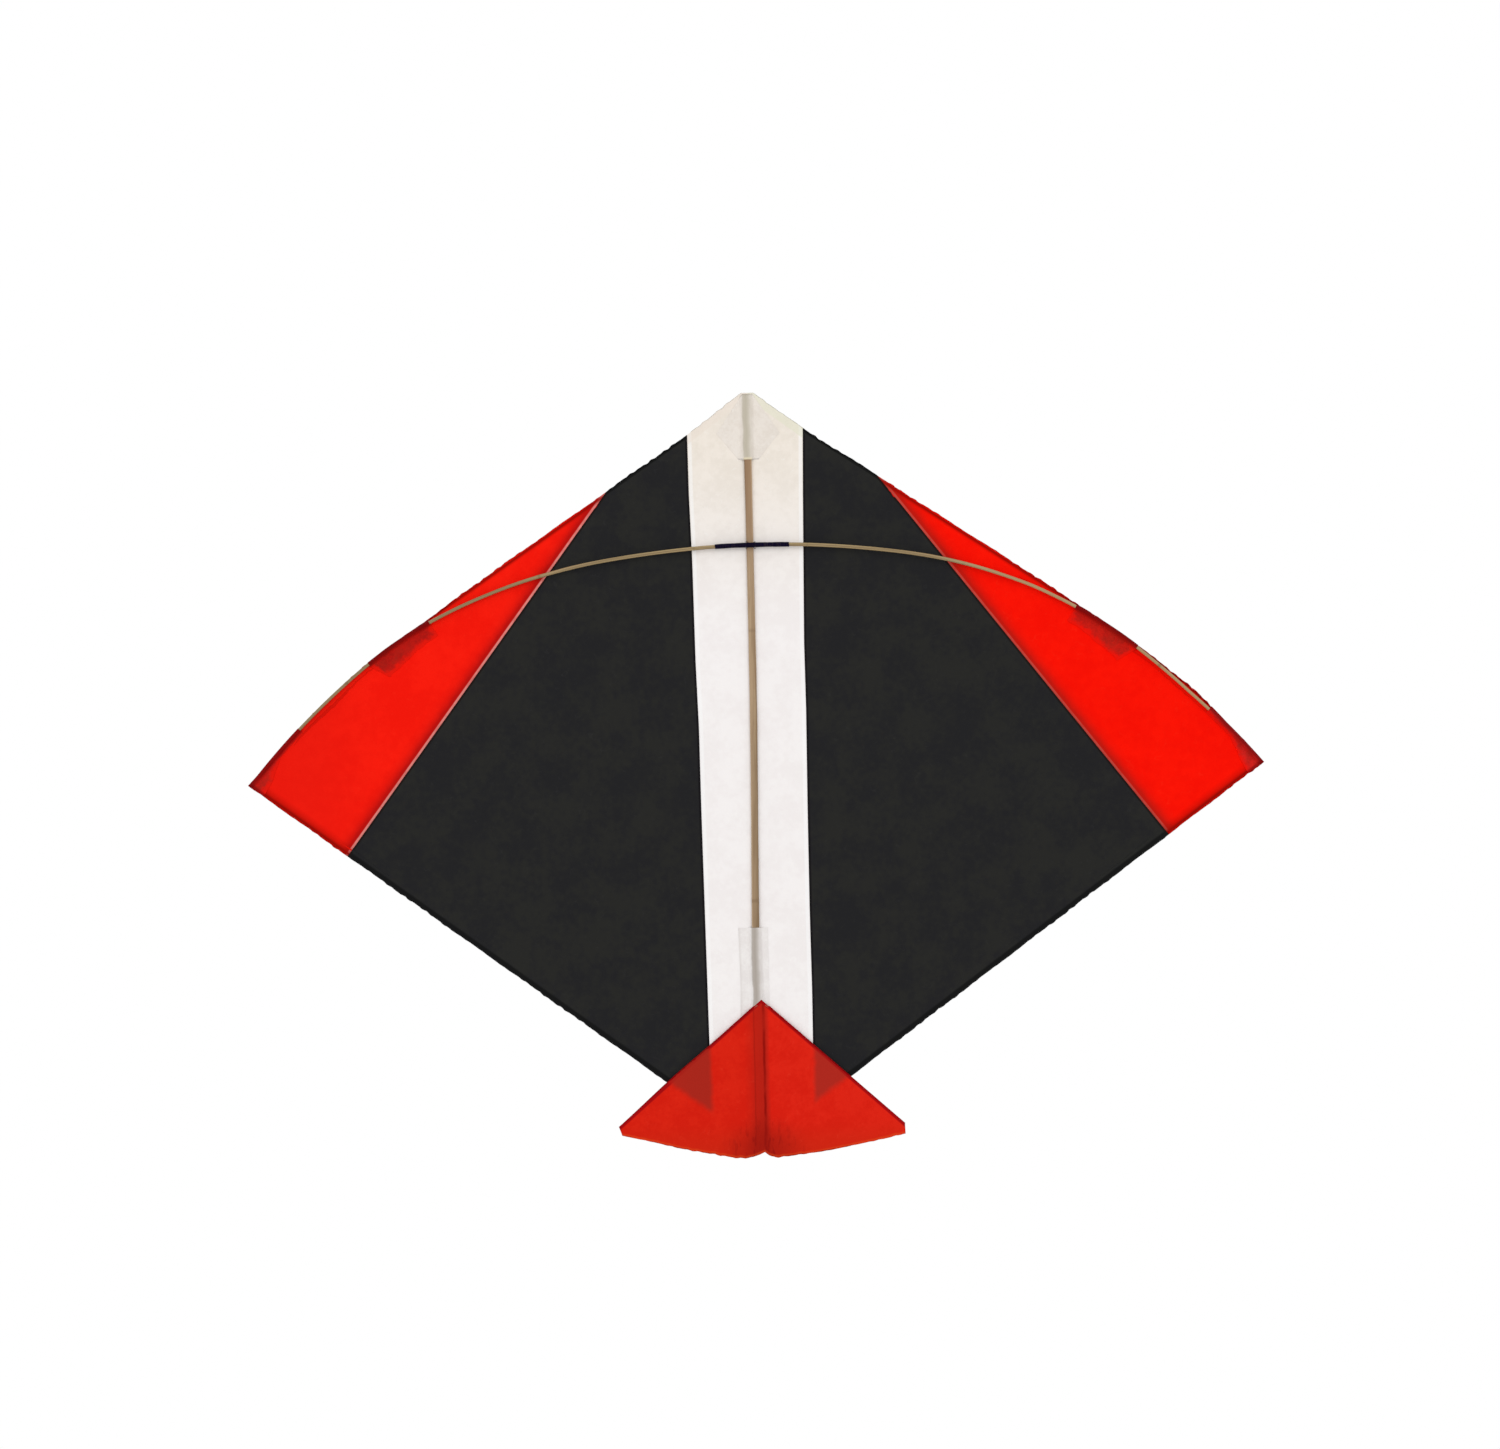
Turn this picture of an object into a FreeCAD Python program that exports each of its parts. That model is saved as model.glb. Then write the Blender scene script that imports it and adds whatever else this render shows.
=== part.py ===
import FreeCAD, Part
import math
import os

from FreeCAD import Vector

# A fighter kite of tissue paper and split bamboo, in millimetres.
# The kite stands upright in the XZ plane: nose up, span along X, sticks on the -Y side of the sail.
# The origin is where the bow crosses the spine. Heights are given as the drop below the nose.

# Sail outline
SPAN = 609.6
LENGTH = 453.0              # nose to the tail, where the sail ends on the spine
TIP_DROP = 228.6
SAIL_T = 0.3                # stands in for 0.05 mm paper
NOSE_HALF = 3.6             # half width of the blunt nose
CENTRE_TOP_HALF = 34.8      # half width of the white centre panel at the leading edge
CENTRE_LOW = (30.8, 431.0)  # the same seam further down, as (x, drop)
HINGE_GAP = 0.2             # between the centre panel and each wing

# The kite is cut by hand, so its halves differ a little. Places are (x outwards from the spine, drop)
TRAILING_AIM = {"left": 455.2, "right": 449.4}  # where each trailing edge would cross the spine
TIP_SEAM = {                # where each red tip panel is glued over its black panel
    "left": ((92.8, 65.0), (244.6, 268.5)),
    "right": ((84.4, 60.2), (246.4, 268.1)),
}
LAP = 5.0

# Spine: a flat bamboo strip on the front of the sail
SPINE_W = 5.0
SPINE_T = 1.6
SPINE_TOP_DROP = 2.0
SPINE_END_DROP = 452.5

# Bow: a round tapered bamboo rod in front of the spine. Each half is a chain of tangent arcs that leaves
# the crossing level and ends under the wing tip, through these points (x, drop below the crossing)
CROSSING_DROP = 91.8
BOW_POINTS = [(90.0, 6.2), (148.0, 20.6), (186.0, 36.8), (235.0, 68.2), (303.8, 137.7)]
BOW_R = 1.2
BOW_TIP_R = 0.95
BOW_TIP_Y = -1.75       # the limbs lean back until the paper can wrap their ends
BOW_END_GAP = 3.0
LIMB_GAP = 0.3
EDGE_BEYOND_BOW = 1.3   # how far the paper's edge stands out from the bow's centre line

# Thread binding on the middle of the bow, and the lashing that ties bow and spine together
BINDING_R = 1.45
BINDING_ENDS = (-21.4, 23.0)
LASHING_R = 0.2
LASHING_SLACK = 0.12
LASHING_HALF_W = 2.8
LASHING_HALF_H = 2.3

# Paper folded over the bow: a strip on each leading edge, and a pocket on each tip
WRAP_DEPTH = 13.0
BOW_PATCH_HEADINGS = (27.3, 38.0)   # degrees below level, along the bow
TIP_POCKET_START = 45.7
BOW_PATCH_HEIGHT = 3.9
TIP_POCKET_HEIGHT = 3.3

# Paper glued over the spine
NOSE_PATCH_TOP_DROP = 4.5
NOSE_PATCH_END_DROP = 40.0
NOSE_PATCH_SIDE = (19.0, 24.0)      # the patch's widest corner, as (x, drop)
NOSE_PATCH_LOW_HALF = 6.0
LOWER_PATCH_DROPS = (319.2, 392.0)
LOWER_PATCH_SIDES = (-10.0, 6.0)

# Tail fin: a paper fan in front of the end of the spine, stiffened by two splints in its folded edges
FIN_APEX_DROP = 364.0
FIN_CORNER = {"left": (87.0, 438.6), "right": (84.4, 440.2)}
FIN_BLUNT = {"left": (85.2, 443.6), "right": (84.6, 446.2)}     # the lower end of each cut-off corner
FIN_LOBE_MID = {"left": (51.0, 452.0), "right": (51.0, 453.4)}
FIN_LOBE_END = {"left": (16.0, 459.2), "right": (9.0, 459.2)}
FIN_NOTCH_DROP = 455.4
FIN_Y = -2.2            # front face of the fin
FIN_FOLD = 1.6          # depth of the folded edges
SPLINT_R = 0.6
SPLINT_START = 4.0

# Threads glued into the folded edges of the sail, on its back
HEM_THREAD_R = 0.25
HEM_INSET = 1.2
TIP_THREAD_GAP = 4.0

BACK = SAIL_T
CROSSING = (0.0, CROSSING_DROP)
TIP = (SPAN / 2, TIP_DROP)
TAIL = (0.0, LENGTH)
NOSE = (0.0, 0.0)
FIN_APEX = (0.0, FIN_APEX_DROP)
SIDES = ("left", "right")
BOW_Y = -(SPINE_T + BINDING_R)
Y_AXIS = Vector(0, 1, 0)
MIDDLE = Vector(0, 0, 0)


def at(place, y=0.0):
    """The 3-D point at (x, drop below the nose)."""
    return Vector(place[0], y, CROSSING_DROP - place[1])


def between(a, b, t):
    return tuple(p + (q - p) * t for p, q in zip(a, b))


def meet(a, b, c, d):
    """Where the line through a and b meets the line through c and d."""
    ab = (b[0] - a[0], b[1] - a[1])
    cd = (d[0] - c[0], d[1] - c[1])
    t = ((c[0] - a[0]) * cd[1] - (c[1] - a[1]) * cd[0]) / (ab[0] * cd[1] - ab[1] * cd[0])
    return between(a, b, t)


def shifted(a, b, distance):
    """The line a-b moved sideways, outwards from the spine for a line that runs down the kite."""
    length = math.dist(a, b)
    out = ((b[1] - a[1]) / length * distance, -(b[0] - a[0]) / length * distance)
    return tuple(p + o for p, o in zip(a, out)), tuple(p + o for p, o in zip(b, out))


class BowArc:
    """One arc of the bow's half: it leaves start at a heading below level and reaches end."""

    def __init__(self, start, heading, end):
        chord = math.atan2(end[1] - start[1], end[0] - start[0])
        self.start_heading = heading
        self.end_heading = 2 * chord - heading
        self.radius = math.dist(start, end) / (2 * math.sin(chord - heading))
        self.centre = (
            start[0] - self.radius * math.sin(heading),
            start[1] + self.radius * math.cos(heading),
        )

    def point(self, heading, offset=0.0):
        reach = self.radius + offset
        return (
            self.centre[0] + reach * math.sin(heading),
            self.centre[1] - reach * math.cos(heading),
        )

    def heading_at_x(self, x, offset=0.0):
        return math.asin((x - self.centre[0]) / (self.radius + offset))

    def edge(self, first, last, offset=0.0):
        headings = (first, (first + last) / 2, last)
        return Part.Arc(*(at(self.point(h, offset)) for h in headings)).toShape()

    def revolve(self, section, first, last):
        """Carry a section, drawn as (offset from the bow, y), round the arc."""
        corners = [at(self.point(first, offset), y) for offset, y in section]
        face = Part.Face(Part.makePolygon(corners + corners[:1]))
        return face.revolve(at(self.centre), Y_AXIS, math.degrees(last - first))


def bow_arcs():
    arcs, start, heading = [], CROSSING, 0.0
    for x, fall in BOW_POINTS:
        end = (x, CROSSING_DROP + fall)
        arcs.append(BowArc(start, heading, end))
        start, heading = end, arcs[-1].end_heading
    return arcs


ARCS = bow_arcs()
PATCH_ARC, TIP_ARC = ARCS[3], ARCS[4]


def nose_tangent():
    """Heading on the patch arc where the straight leading edge from the nose touches the paper's curve."""
    reach = PATCH_ARC.radius + EDGE_BEYOND_BOW
    along, down = PATCH_ARC.centre
    far = math.hypot(along, down)
    return math.asin(reach / far) - math.atan2(along, down)


EDGE_HEADING = nose_tangent()
EDGE_END = PATCH_ARC.point(EDGE_HEADING, EDGE_BEYOND_BOW)


def on_leading_edge(x):
    return between(NOSE, EDGE_END, x / EDGE_END[0])


def trailing_edge(side):
    """The line of a half's trailing edge, from the spine to the tip."""
    return (0.0, TRAILING_AIM[side]), TIP


SEAM = (on_leading_edge(CENTRE_TOP_HALF), CENTRE_LOW)
LEADING_EDGE = (NOSE, EDGE_END)
SEAM_AT_BOW = meet(*SEAM, CROSSING, (SPAN, CROSSING_DROP))[0]


def prism(edges, front, back):
    """A flat piece whose outline is a list of edges in the sail plane."""
    face = Part.Face(Part.Wire(Part.__sortEdges__(edges)))
    face.translate(Vector(0, front, 0))
    return face.extrude(Vector(0, back - front, 0))


def outline(places):
    points = [at(p) for p in places]
    return [Part.LineSegment(p, q).toShape() for p, q in zip(points, points[1:] + points[:1])]


def plate(places, front, back):
    return prism(outline(places), front, back)


def block(x_low, x_high, front, back, drop_top, drop_low):
    return plate([(x_low, drop_top), (x_high, drop_top), (x_high, drop_low), (x_low, drop_low)], front, back)


def rod(start, end, radius):
    along = end - start
    return Part.makeCylinder(radius, along.Length, start, along)


def mirrored(shape):
    return shape.mirror(MIDDLE, Vector(1, 0, 0))


def on_side(shape, side):
    """Every half is built to the right, and the left one is turned over."""
    return mirrored(shape) if side == "left" else shape


# Sail panels

def centre_panel():
    halves = {side: [SEAM[0], meet(*SEAM, *trailing_edge(side))] for side in SIDES}
    left = [(-x, drop) for x, drop in reversed(halves["left"])]
    nose = [(-NOSE_HALF, 0.0), (NOSE_HALF, 0.0)]
    panel = plate(nose + halves["right"] + [TAIL] + left, 0, BACK)
    for x in (-LASHING_HALF_W, LASHING_HALF_W):
        for z in (-LASHING_HALF_H, LASHING_HALF_H):
            panel = panel.cut(Part.makeCylinder(LASHING_R, 4 * SAIL_T, Vector(x, -SAIL_T, z), Y_AXIS))
    return panel


def strip_corners(inner, outer, side):
    """The corners of a strip of sail between two lines that run down the kite."""
    trail = trailing_edge(side)
    top = [meet(*inner, *LEADING_EDGE), meet(*outer, *LEADING_EDGE)]
    return top + [meet(*outer, *trail), meet(*inner, *trail)]


def black_panel(side):
    inner, outer = shifted(*SEAM, HINGE_GAP), shifted(*TIP_SEAM[side], LAP)
    return on_side(plate(strip_corners(inner, outer, side), 0, BACK), side)


def tip_panel(side):
    """The red panel lies flush with the black one and laps over its front by LAP."""
    inner = shifted(*TIP_SEAM[side], LAP)
    top, low = meet(*inner, *LEADING_EDGE), meet(*inner, *trailing_edge(side))
    tip_heading = TIP_ARC.heading_at_x(TIP[0], EDGE_BEYOND_BOW)
    edges = [
        Part.LineSegment(at(low), at(top)).toShape(),
        Part.LineSegment(at(top), at(EDGE_END)).toShape(),
        PATCH_ARC.edge(EDGE_HEADING, PATCH_ARC.end_heading, EDGE_BEYOND_BOW),
        TIP_ARC.edge(TIP_ARC.start_heading, tip_heading, EDGE_BEYOND_BOW),
        Part.LineSegment(at(TIP_ARC.point(tip_heading, EDGE_BEYOND_BOW)), at(low)).toShape(),
    ]
    past_lap = shifted(*TIP_SEAM[side], LAP + SAIL_T)
    lap = plate(strip_corners(TIP_SEAM[side], past_lap, side), -SAIL_T, 0)
    return on_side(prism(edges, 0, BACK).fuse(lap).removeSplitter(), side)


# Sticks

def spine():
    return block(-SPINE_W / 2, SPINE_W / 2, -SPINE_T, 0, SPINE_TOP_DROP, SPINE_END_DROP)


def ring_face(place, y, heading, radius):
    """A disc across the bow, square to its heading."""
    direction = Vector(math.cos(heading), 0, -math.sin(heading))
    return Part.Face(Part.Wire(Part.makeCircle(radius, at(place, y), direction)))


def turned_rod(radius, x_low, x_high):
    """A round rod that follows the arc over the crossing."""
    arc = ARCS[0]
    first, last = arc.heading_at_x(x_low), arc.heading_at_x(x_high)
    disc = ring_face(arc.point(first), BOW_Y, first, radius)
    return disc.revolve(at(arc.centre), Y_AXIS, math.degrees(last - first))


def bow_centre():
    return turned_rod(BOW_R, -SEAM_AT_BOW, SEAM_AT_BOW)


def bow_binding():
    return turned_rod(BINDING_R, *BINDING_ENDS).cut(turned_rod(BOW_R, *BINDING_ENDS))


def bow_limb(side):
    """The rest of the bow's half, tapering, in an upright plane that leans back towards the tip."""
    first = ARCS[0].heading_at_x(SEAM_AT_BOW + LIMB_GAP)
    last = TIP_ARC.end_heading - BOW_END_GAP / TIP_ARC.radius
    spans = [(arc, arc.start_heading, arc.end_heading) for arc in ARCS]
    spans[0] = (ARCS[0], first, ARCS[0].end_heading)
    spans[-1] = (TIP_ARC, TIP_ARC.start_heading, last)
    path = Part.Wire([arc.edge(a, b) for arc, a, b in spans])
    root, end = ARCS[0].point(first), TIP_ARC.point(last)
    thick = ring_face(root, 0, first, BOW_R).OuterWire
    thin = ring_face(end, 0, last, BOW_TIP_R).OuterWire
    limb = path.makePipeShell([thick, thin], True, False)
    limb.translate(Vector(0, BOW_Y, 0))
    lean = math.degrees(math.atan2(BOW_TIP_Y - BOW_Y, end[0] - root[0]))
    limb.rotate(at(root, BOW_Y), Vector(0, 0, 1), lean)
    return on_side(limb, side)


def fin_splint(side):
    inset = SPLINT_R + SAIL_T
    a, b = shifted(FIN_APEX, FIN_CORNER[side], -inset)
    start = between(a, b, (SPLINT_START - a[0]) / (b[0] - a[0]))
    end = between(a, b, 1 - inset / math.dist(a, b))
    y = FIN_Y + SAIL_T + SPLINT_R
    return on_side(rod(at(start, y), at(end, y), SPLINT_R), side)


# Paper folded round the sticks

def wrap_section(height, half):
    """A folded strip: over the bow, down both its sides, and flat on the sail as far as WRAP_DEPTH."""
    outer, inner = half + SAIL_T, -(half + SAIL_T)
    return [
        (half, 0), (outer, 0), (outer, -height), (inner, -height), (inner, -SAIL_T),
        (-WRAP_DEPTH, -SAIL_T), (-WRAP_DEPTH, 0), (-half, 0),
        (-half, SAIL_T - height), (half, SAIL_T - height),
    ]


def bow_patch(side):
    first, last = (math.radians(h) for h in BOW_PATCH_HEADINGS)
    section = wrap_section(BOW_PATCH_HEIGHT, EDGE_BEYOND_BOW + 0.1)
    return on_side(PATCH_ARC.revolve(section, first, last), side)


def tip_pocket(side):
    first, last = math.radians(TIP_POCKET_START), TIP_ARC.end_heading + 0.02
    wrap = TIP_ARC.revolve(wrap_section(TIP_POCKET_HEIGHT, EDGE_BEYOND_BOW), first, last)
    inner_end, tip = trailing_edge(side)
    past_tip = between(inner_end, tip, 1.2)
    past_edge = plate([inner_end, past_tip, (SPAN, LENGTH)], -2 * TIP_POCKET_HEIGHT, BACK)
    return on_side(wrap.cut(past_edge), side)


def over_spine(flat, drop_top, drop_low):
    """A glued patch: flat on the sail, and raised in a channel over the spine."""
    outer = SPINE_W / 2 + SAIL_T
    raised = block(-outer, outer, -SPINE_T - SAIL_T, 0, drop_top, drop_low)
    channel = block(-SPINE_W / 2, SPINE_W / 2, -SPINE_T, SAIL_T, drop_top - 1, drop_low + 1)
    return flat.fuse(raised).cut(channel).removeSplitter()


def nose_patch():
    top = (SPINE_W / 2 + SAIL_T, NOSE_PATCH_TOP_DROP)
    right = [top, NOSE_PATCH_SIDE, (NOSE_PATCH_LOW_HALF, NOSE_PATCH_END_DROP)]
    left = [(-x, drop) for x, drop in reversed(right)]
    flat = plate(right + left, -SAIL_T, 0)
    return over_spine(flat, NOSE_PATCH_TOP_DROP, NOSE_PATCH_END_DROP)


def lower_spine_patch():
    top, low = LOWER_PATCH_DROPS
    flat = block(*LOWER_PATCH_SIDES, -SAIL_T, 0, top, low)
    return over_spine(flat, top, low)


def fin_half(side):
    corner, blunt, lobe_end = FIN_CORNER[side], FIN_BLUNT[side], FIN_LOBE_END[side]
    notch = (0, FIN_NOTCH_DROP)
    edges = [Part.Arc(at(blunt), at(FIN_LOBE_MID[side]), at(lobe_end)).toShape()]
    for start, end in ((FIN_APEX, corner), (corner, blunt), (lobe_end, notch), (notch, FIN_APEX)):
        edges.append(Part.LineSegment(at(start), at(end)).toShape())
    inner = shifted(FIN_APEX, corner, -SAIL_T)
    clear = (SPINE_W / 2 + 2 * SAIL_T) / corner[0]
    fold = plate(
        [between(FIN_APEX, corner, clear), corner, inner[1], between(*inner, clear)], FIN_Y, FIN_Y + FIN_FOLD
    )
    return on_side(prism(edges, FIN_Y, FIN_Y + SAIL_T).fuse(fold), side)


def tail_fin():
    """Two lobes either side of the spine's end, with the upper edges folded back over the splints."""
    return fin_half("left").fuse(fin_half("right")).removeSplitter()


# Threads

def lashing_loop(side, lift):
    """One diagonal turn: over the bound bow, down beside the spine, through the sail and across its back."""
    reach = BINDING_R + LASHING_R + LASHING_SLACK + lift
    over = []
    for degrees in (-90, -60, -30, 0, 30, 60, 90):
        angle = math.radians(degrees)
        height = reach * math.sin(angle)
        across = side * height / reach * (LASHING_HALF_W - 0.6)
        over.append(Vector(across, BOW_Y - reach * math.cos(angle), height))
    back = BACK + LASHING_R + lift
    high = Vector(side * LASHING_HALF_W, 0, LASHING_HALF_H)
    low = -high
    loop = [low + Vector(0, back, 0), low - Vector(0, SPINE_T, 0)] + over
    loop += [high - Vector(0, SPINE_T, 0), high + Vector(0, back, 0)]
    turn = rod(loop[-1], loop[0], LASHING_R)
    for start, end in zip(loop, loop[1:]):
        turn = turn.fuse([rod(start, end, LASHING_R), Part.makeSphere(LASHING_R, start)])
    return turn.fuse(Part.makeSphere(LASHING_R, loop[-1])).removeSplitter()


def cross_lashing():
    return Part.makeCompound([lashing_loop(1, 0.0), lashing_loop(-1, 2 * LASHING_R + 0.05)])


def hem_run(start, end, gap_start=0.0, gap_end=0.0):
    """A straight thread just inside an edge, on the back of the sail."""
    a, b = at(start, BACK + HEM_THREAD_R), at(end, BACK + HEM_THREAD_R)
    along = (b - a).normalize()
    return rod(a + along * gap_start, b - along * gap_end, HEM_THREAD_R)


def hem_lines(side):
    """A half's leading and trailing edges, moved in by HEM_INSET, each from the spine outwards."""
    return shifted(*LEADING_EDGE, -HEM_INSET), shifted(*trailing_edge(side), HEM_INSET)


def hem_thread_centre():
    threads = []
    for side in SIDES:
        for line in hem_lines(side):
            run = hem_run(meet(*line, NOSE, TAIL), meet(*line, *SEAM), 2 * HEM_THREAD_R, HINGE_GAP)
            threads.append(on_side(run, side))
    return Part.makeCompound(threads)


def hem_thread(side):
    lead, trail = hem_lines(side)
    seam = shifted(*SEAM, HINGE_GAP)
    runs = [
        hem_run(meet(*lead, *seam), lead[1], 4 * HEM_THREAD_R),
        hem_run(meet(*trail, *seam), trail[1], 4 * HEM_THREAD_R, TIP_THREAD_GAP),
    ]
    return on_side(Part.makeCompound(runs), side)


NODES = {
    "spine": spine(),
    "centre_panel": centre_panel(),
    "bow_centre": bow_centre(),
    "bow_binding": bow_binding(),
    "cross_lashing": cross_lashing(),
    "nose_patch": nose_patch(),
    "lower_spine_patch": lower_spine_patch(),
    "tail_fin": tail_fin(),
    "hem_thread_centre": hem_thread_centre(),
}
PAIRS = [black_panel, tip_panel, bow_limb, bow_patch, tip_pocket, fin_splint, hem_thread]
for build in PAIRS:
    for side in SIDES:
        NODES[f"{build.__name__}_{side}"] = build(side)

os.makedirs("parts", exist_ok=True)
for name, shape in NODES.items():
    assert shape.isValid(), name
    shape.exportStep(f"parts/{name}.step")
    box = shape.BoundBox
    size = f"{box.XLength:.1f} x {box.YLength:.1f} x {box.ZLength:.1f} mm"
    print(f"{name:20s} {len(shape.Solids)} solids, {shape.Volume:.1f} mm3, {size}")
hinge = at(SEAM[1], BACK) - at(SEAM[0], BACK)
print("right hinge:", at(SEAM[0], BACK), "downward", hinge.normalize())
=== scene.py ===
import math

import bmesh
import bpy
import numpy as np
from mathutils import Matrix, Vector
from numpy import clip, concatenate, cos, interp, linspace, pi, sin, stack

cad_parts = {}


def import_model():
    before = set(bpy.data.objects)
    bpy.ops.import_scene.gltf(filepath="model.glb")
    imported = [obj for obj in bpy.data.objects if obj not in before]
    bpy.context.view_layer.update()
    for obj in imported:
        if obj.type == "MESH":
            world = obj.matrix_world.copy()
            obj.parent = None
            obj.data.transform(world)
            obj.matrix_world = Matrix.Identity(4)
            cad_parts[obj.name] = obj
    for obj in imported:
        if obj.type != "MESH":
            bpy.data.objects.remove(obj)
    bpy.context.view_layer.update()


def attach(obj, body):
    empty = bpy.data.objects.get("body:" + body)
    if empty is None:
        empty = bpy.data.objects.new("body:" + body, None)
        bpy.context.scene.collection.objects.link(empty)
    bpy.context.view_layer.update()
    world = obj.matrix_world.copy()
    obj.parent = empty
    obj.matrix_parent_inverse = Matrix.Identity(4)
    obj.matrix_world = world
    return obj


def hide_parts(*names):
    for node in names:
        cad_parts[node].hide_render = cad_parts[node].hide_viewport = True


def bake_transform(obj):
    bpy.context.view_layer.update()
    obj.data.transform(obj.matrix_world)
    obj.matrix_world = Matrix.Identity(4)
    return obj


MM = 0.001

# The kite's driving dimensions, in millimetres, as the CAD model has them.
# A place in the sail is (x outwards from the spine, drop below the nose).
CROSSING_DROP = 91.8
NOSE_HALF = 3.6
TIP = (304.8, 228.6)
TAIL_DROP = 452.0
SEAM_TOP_X = 34.8
SEAM_LOW = (30.8, 431.0)
TRAILING_AIM = {"left": 455.2, "right": 449.4}
TIP_SEAM = {
    "left": ((92.0, 65.6), (243.8, 269.1)),
    "right": ((84.2, 60.4), (245.4, 268.8)),
}
LAP = 5.0
WHITE_LAP = 3.0
SPINE_HALF_W = 2.5
SPINE_T = 1.6
SPINE_DROPS = (2.0, 452.5)
BOW_POINTS = [(90.0, 6.2), (148.0, 20.6), (186.0, 36.8), (235.0, 68.2), (303.8, 137.7)]
BOW_R = 1.2
BOW_TIP_R = 0.95
BOW_Y = -3.05
BOW_TIP_Y = -1.75
BOW_END_GAP = 5.5
EDGE_BEYOND_BOW = 1.3
BINDING_ENDS = (-21.4, 23.0)
BINDING_THREAD_R = 0.12
LASHING_THREAD_R = 0.2
BOW_PATCH_HEADINGS = (28.2, 38.0)
TIP_POCKET_START = 45.7
NOSE_PATCH_DROPS = (0.7, 24.0, 40.0)
NOSE_PATCH_HALF_WIDTHS = (3.0, 19.0, 6.0)
LOWER_PATCH_DROPS = (320.8, 392.0)
LOWER_PATCH_SIDES = (-12.5, 5.0)
FIN_APEX_DROP = 364.0
FIN_CORNER = {"left": (87.0, 438.6), "right": (84.4, 440.2)}
FIN_BLUNT = {"left": (85.2, 443.6), "right": (84.6, 446.2)}
FIN_LOBE_MID = {"left": (51.0, 452.0), "right": (51.0, 453.4)}
FIN_LOBE_END = {"left": (16.0, 459.2), "right": (9.0, 459.2)}
FIN_NOTCH_DROP = 455.4
FIN_Y = -1.99
FIN_FOLD_START = 3.4    # how far out of the apex the fold behind the edge begins
SPLINT_R = 0.6
SPLINT_START = 4.0
SPLINT_END_GAP = 2.0
HEM_THREAD_R = 0.25
HEM_INSET = 1.2

# Paper: the sail's own layer lies SAIL_Y behind the front face of the CAD sail
PAPER = 0.1
SAIL_Y = 0.15
LAYER = 0.12            # from one glued layer to the next
CELL = 3.0              # mesh size of the panels
EDGE_CELL = 1.7         # and along their folded edges
BOW_STEP = 2.0          # between the bow's sections
NO_EDGE = 99.0          # an "edge" value for paper that is far from any folded edge

# How far this kite is from its pattern: (place, millimetres outwards) for the bow and for the sail's curved
# edge beside it, along x, and for the seams of the centre panel, along the drop
BOW_WANDER = {
    "left": [(0, 0.45), (14, 0.4), (28, 0.1), (60, -0.55), (100, -1.35), (120, -1.6), (150, -1.2), (175, -0.8),
             (262, -0.65), (305, -0.4)],
    "right": [(0, 0.45), (29, 0.8), (60, 0.75), (100, 0.5), (150, 0.65), (168, 0.8), (185, 0.2), (235, -1.6),
              (262, -1.9), (303, -0.5)],
}
EDGE_WANDER = {
    "left": [(150, 0), (175, -0.4), (200, -1.1), (220, -0.9), (240, -1.2), (285, -1.3), (296, -1.1), (305, 0)],
    "right": [(150, 0), (175, -0.3), (200, -0.7), (235, -1.5), (250, -1.1), (262, -0.2), (283, -0.8), (305, 0)],
}
SEAM_WANDER = {
    "left": [(25, 1.8), (60, 1.9), (100, 1.2), (160, 1.2), (200, 0.5), (250, 0.7), (430, 0.45)],
    "right": [(25, -1.9), (60, -2.3), (150, -2.85), (190, -2.2), (250, -2.1), (310, -1.7), (360, -0.9), (430, -0.7)],
}

SIDES = {"left": -1, "right": 1}
VIEW_SPAN = 900.0       # how much of the kite's plane the view takes in
VIEW_CENTRE = (-2.9, 198.9)
VIEW_ROLL = 1.35        # degrees that the kite hangs askew
CAMERA_DISTANCE = 2.5
SENSOR_MM = 36.0
WORLD_LIGHT = 0.76
LIGHTS = [              # name, place and size in metres, watts
    ("key", (1.5, -2.6, 1.2), 2.2, 20.0),
    ("fill", (-1.8, -2.4, 0.3), 2.2, 12.0),
    ("back", (-0.8, 2.6, 1.6), 2.0, 18.0),
]
LIGHTS_AIM = (0, 0, -0.1)
FLOOR_RADIUS, FLOOR_Z = 1.5, -0.9


# Flat geometry

def between(a, b, t):
    return tuple(p + (q - p) * t for p, q in zip(a, b))


def meet(a, b, c, d):
    """Where the line through a and b meets the line through c and d."""
    ab = (b[0] - a[0], b[1] - a[1])
    cd = (d[0] - c[0], d[1] - c[1])
    t = ((c[0] - a[0]) * cd[1] - (c[1] - a[1]) * cd[0]) / (ab[0] * cd[1] - ab[1] * cd[0])
    return between(a, b, t)


def shifted(a, b, distance):
    """The line a-b moved sideways, outwards from the spine for a line that runs down the kite."""
    length = math.dist(a, b)
    out = ((b[1] - a[1]) / length * distance, -(b[0] - a[0]) / length * distance)
    return tuple(p + o for p, o in zip(a, out)), tuple(p + o for p, o in zip(b, out))


def distance_to_line(flat, line):
    """Signed distance of (x, drop) points from a line, positive on its outer side."""
    a, b = line
    return ((flat[..., 0] - a[0]) * (b[1] - a[1]) - (flat[..., 1] - a[1]) * (b[0] - a[0])) / math.dist(a, b)


def smooth(value, low, high):
    t = clip((value - low) / (high - low), 0, 1)
    return t * t * (3 - 2 * t)


def lengths(path):
    """The length along a path at each of its points."""
    return np.r_[0, np.cumsum(np.linalg.norm(np.diff(path, axis=0), axis=1))]


def resample(points, count):
    """Points evenly spaced along a polyline."""
    points = np.asarray(points, float)
    along = lengths(points)
    wanted = linspace(0, along[-1], count)
    return stack([interp(wanted, along, points[:, k]) for k in range(points.shape[1])], axis=1)


def unit(v):
    return v / np.maximum(np.linalg.norm(v, axis=-1, keepdims=True), 1e-9)


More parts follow.
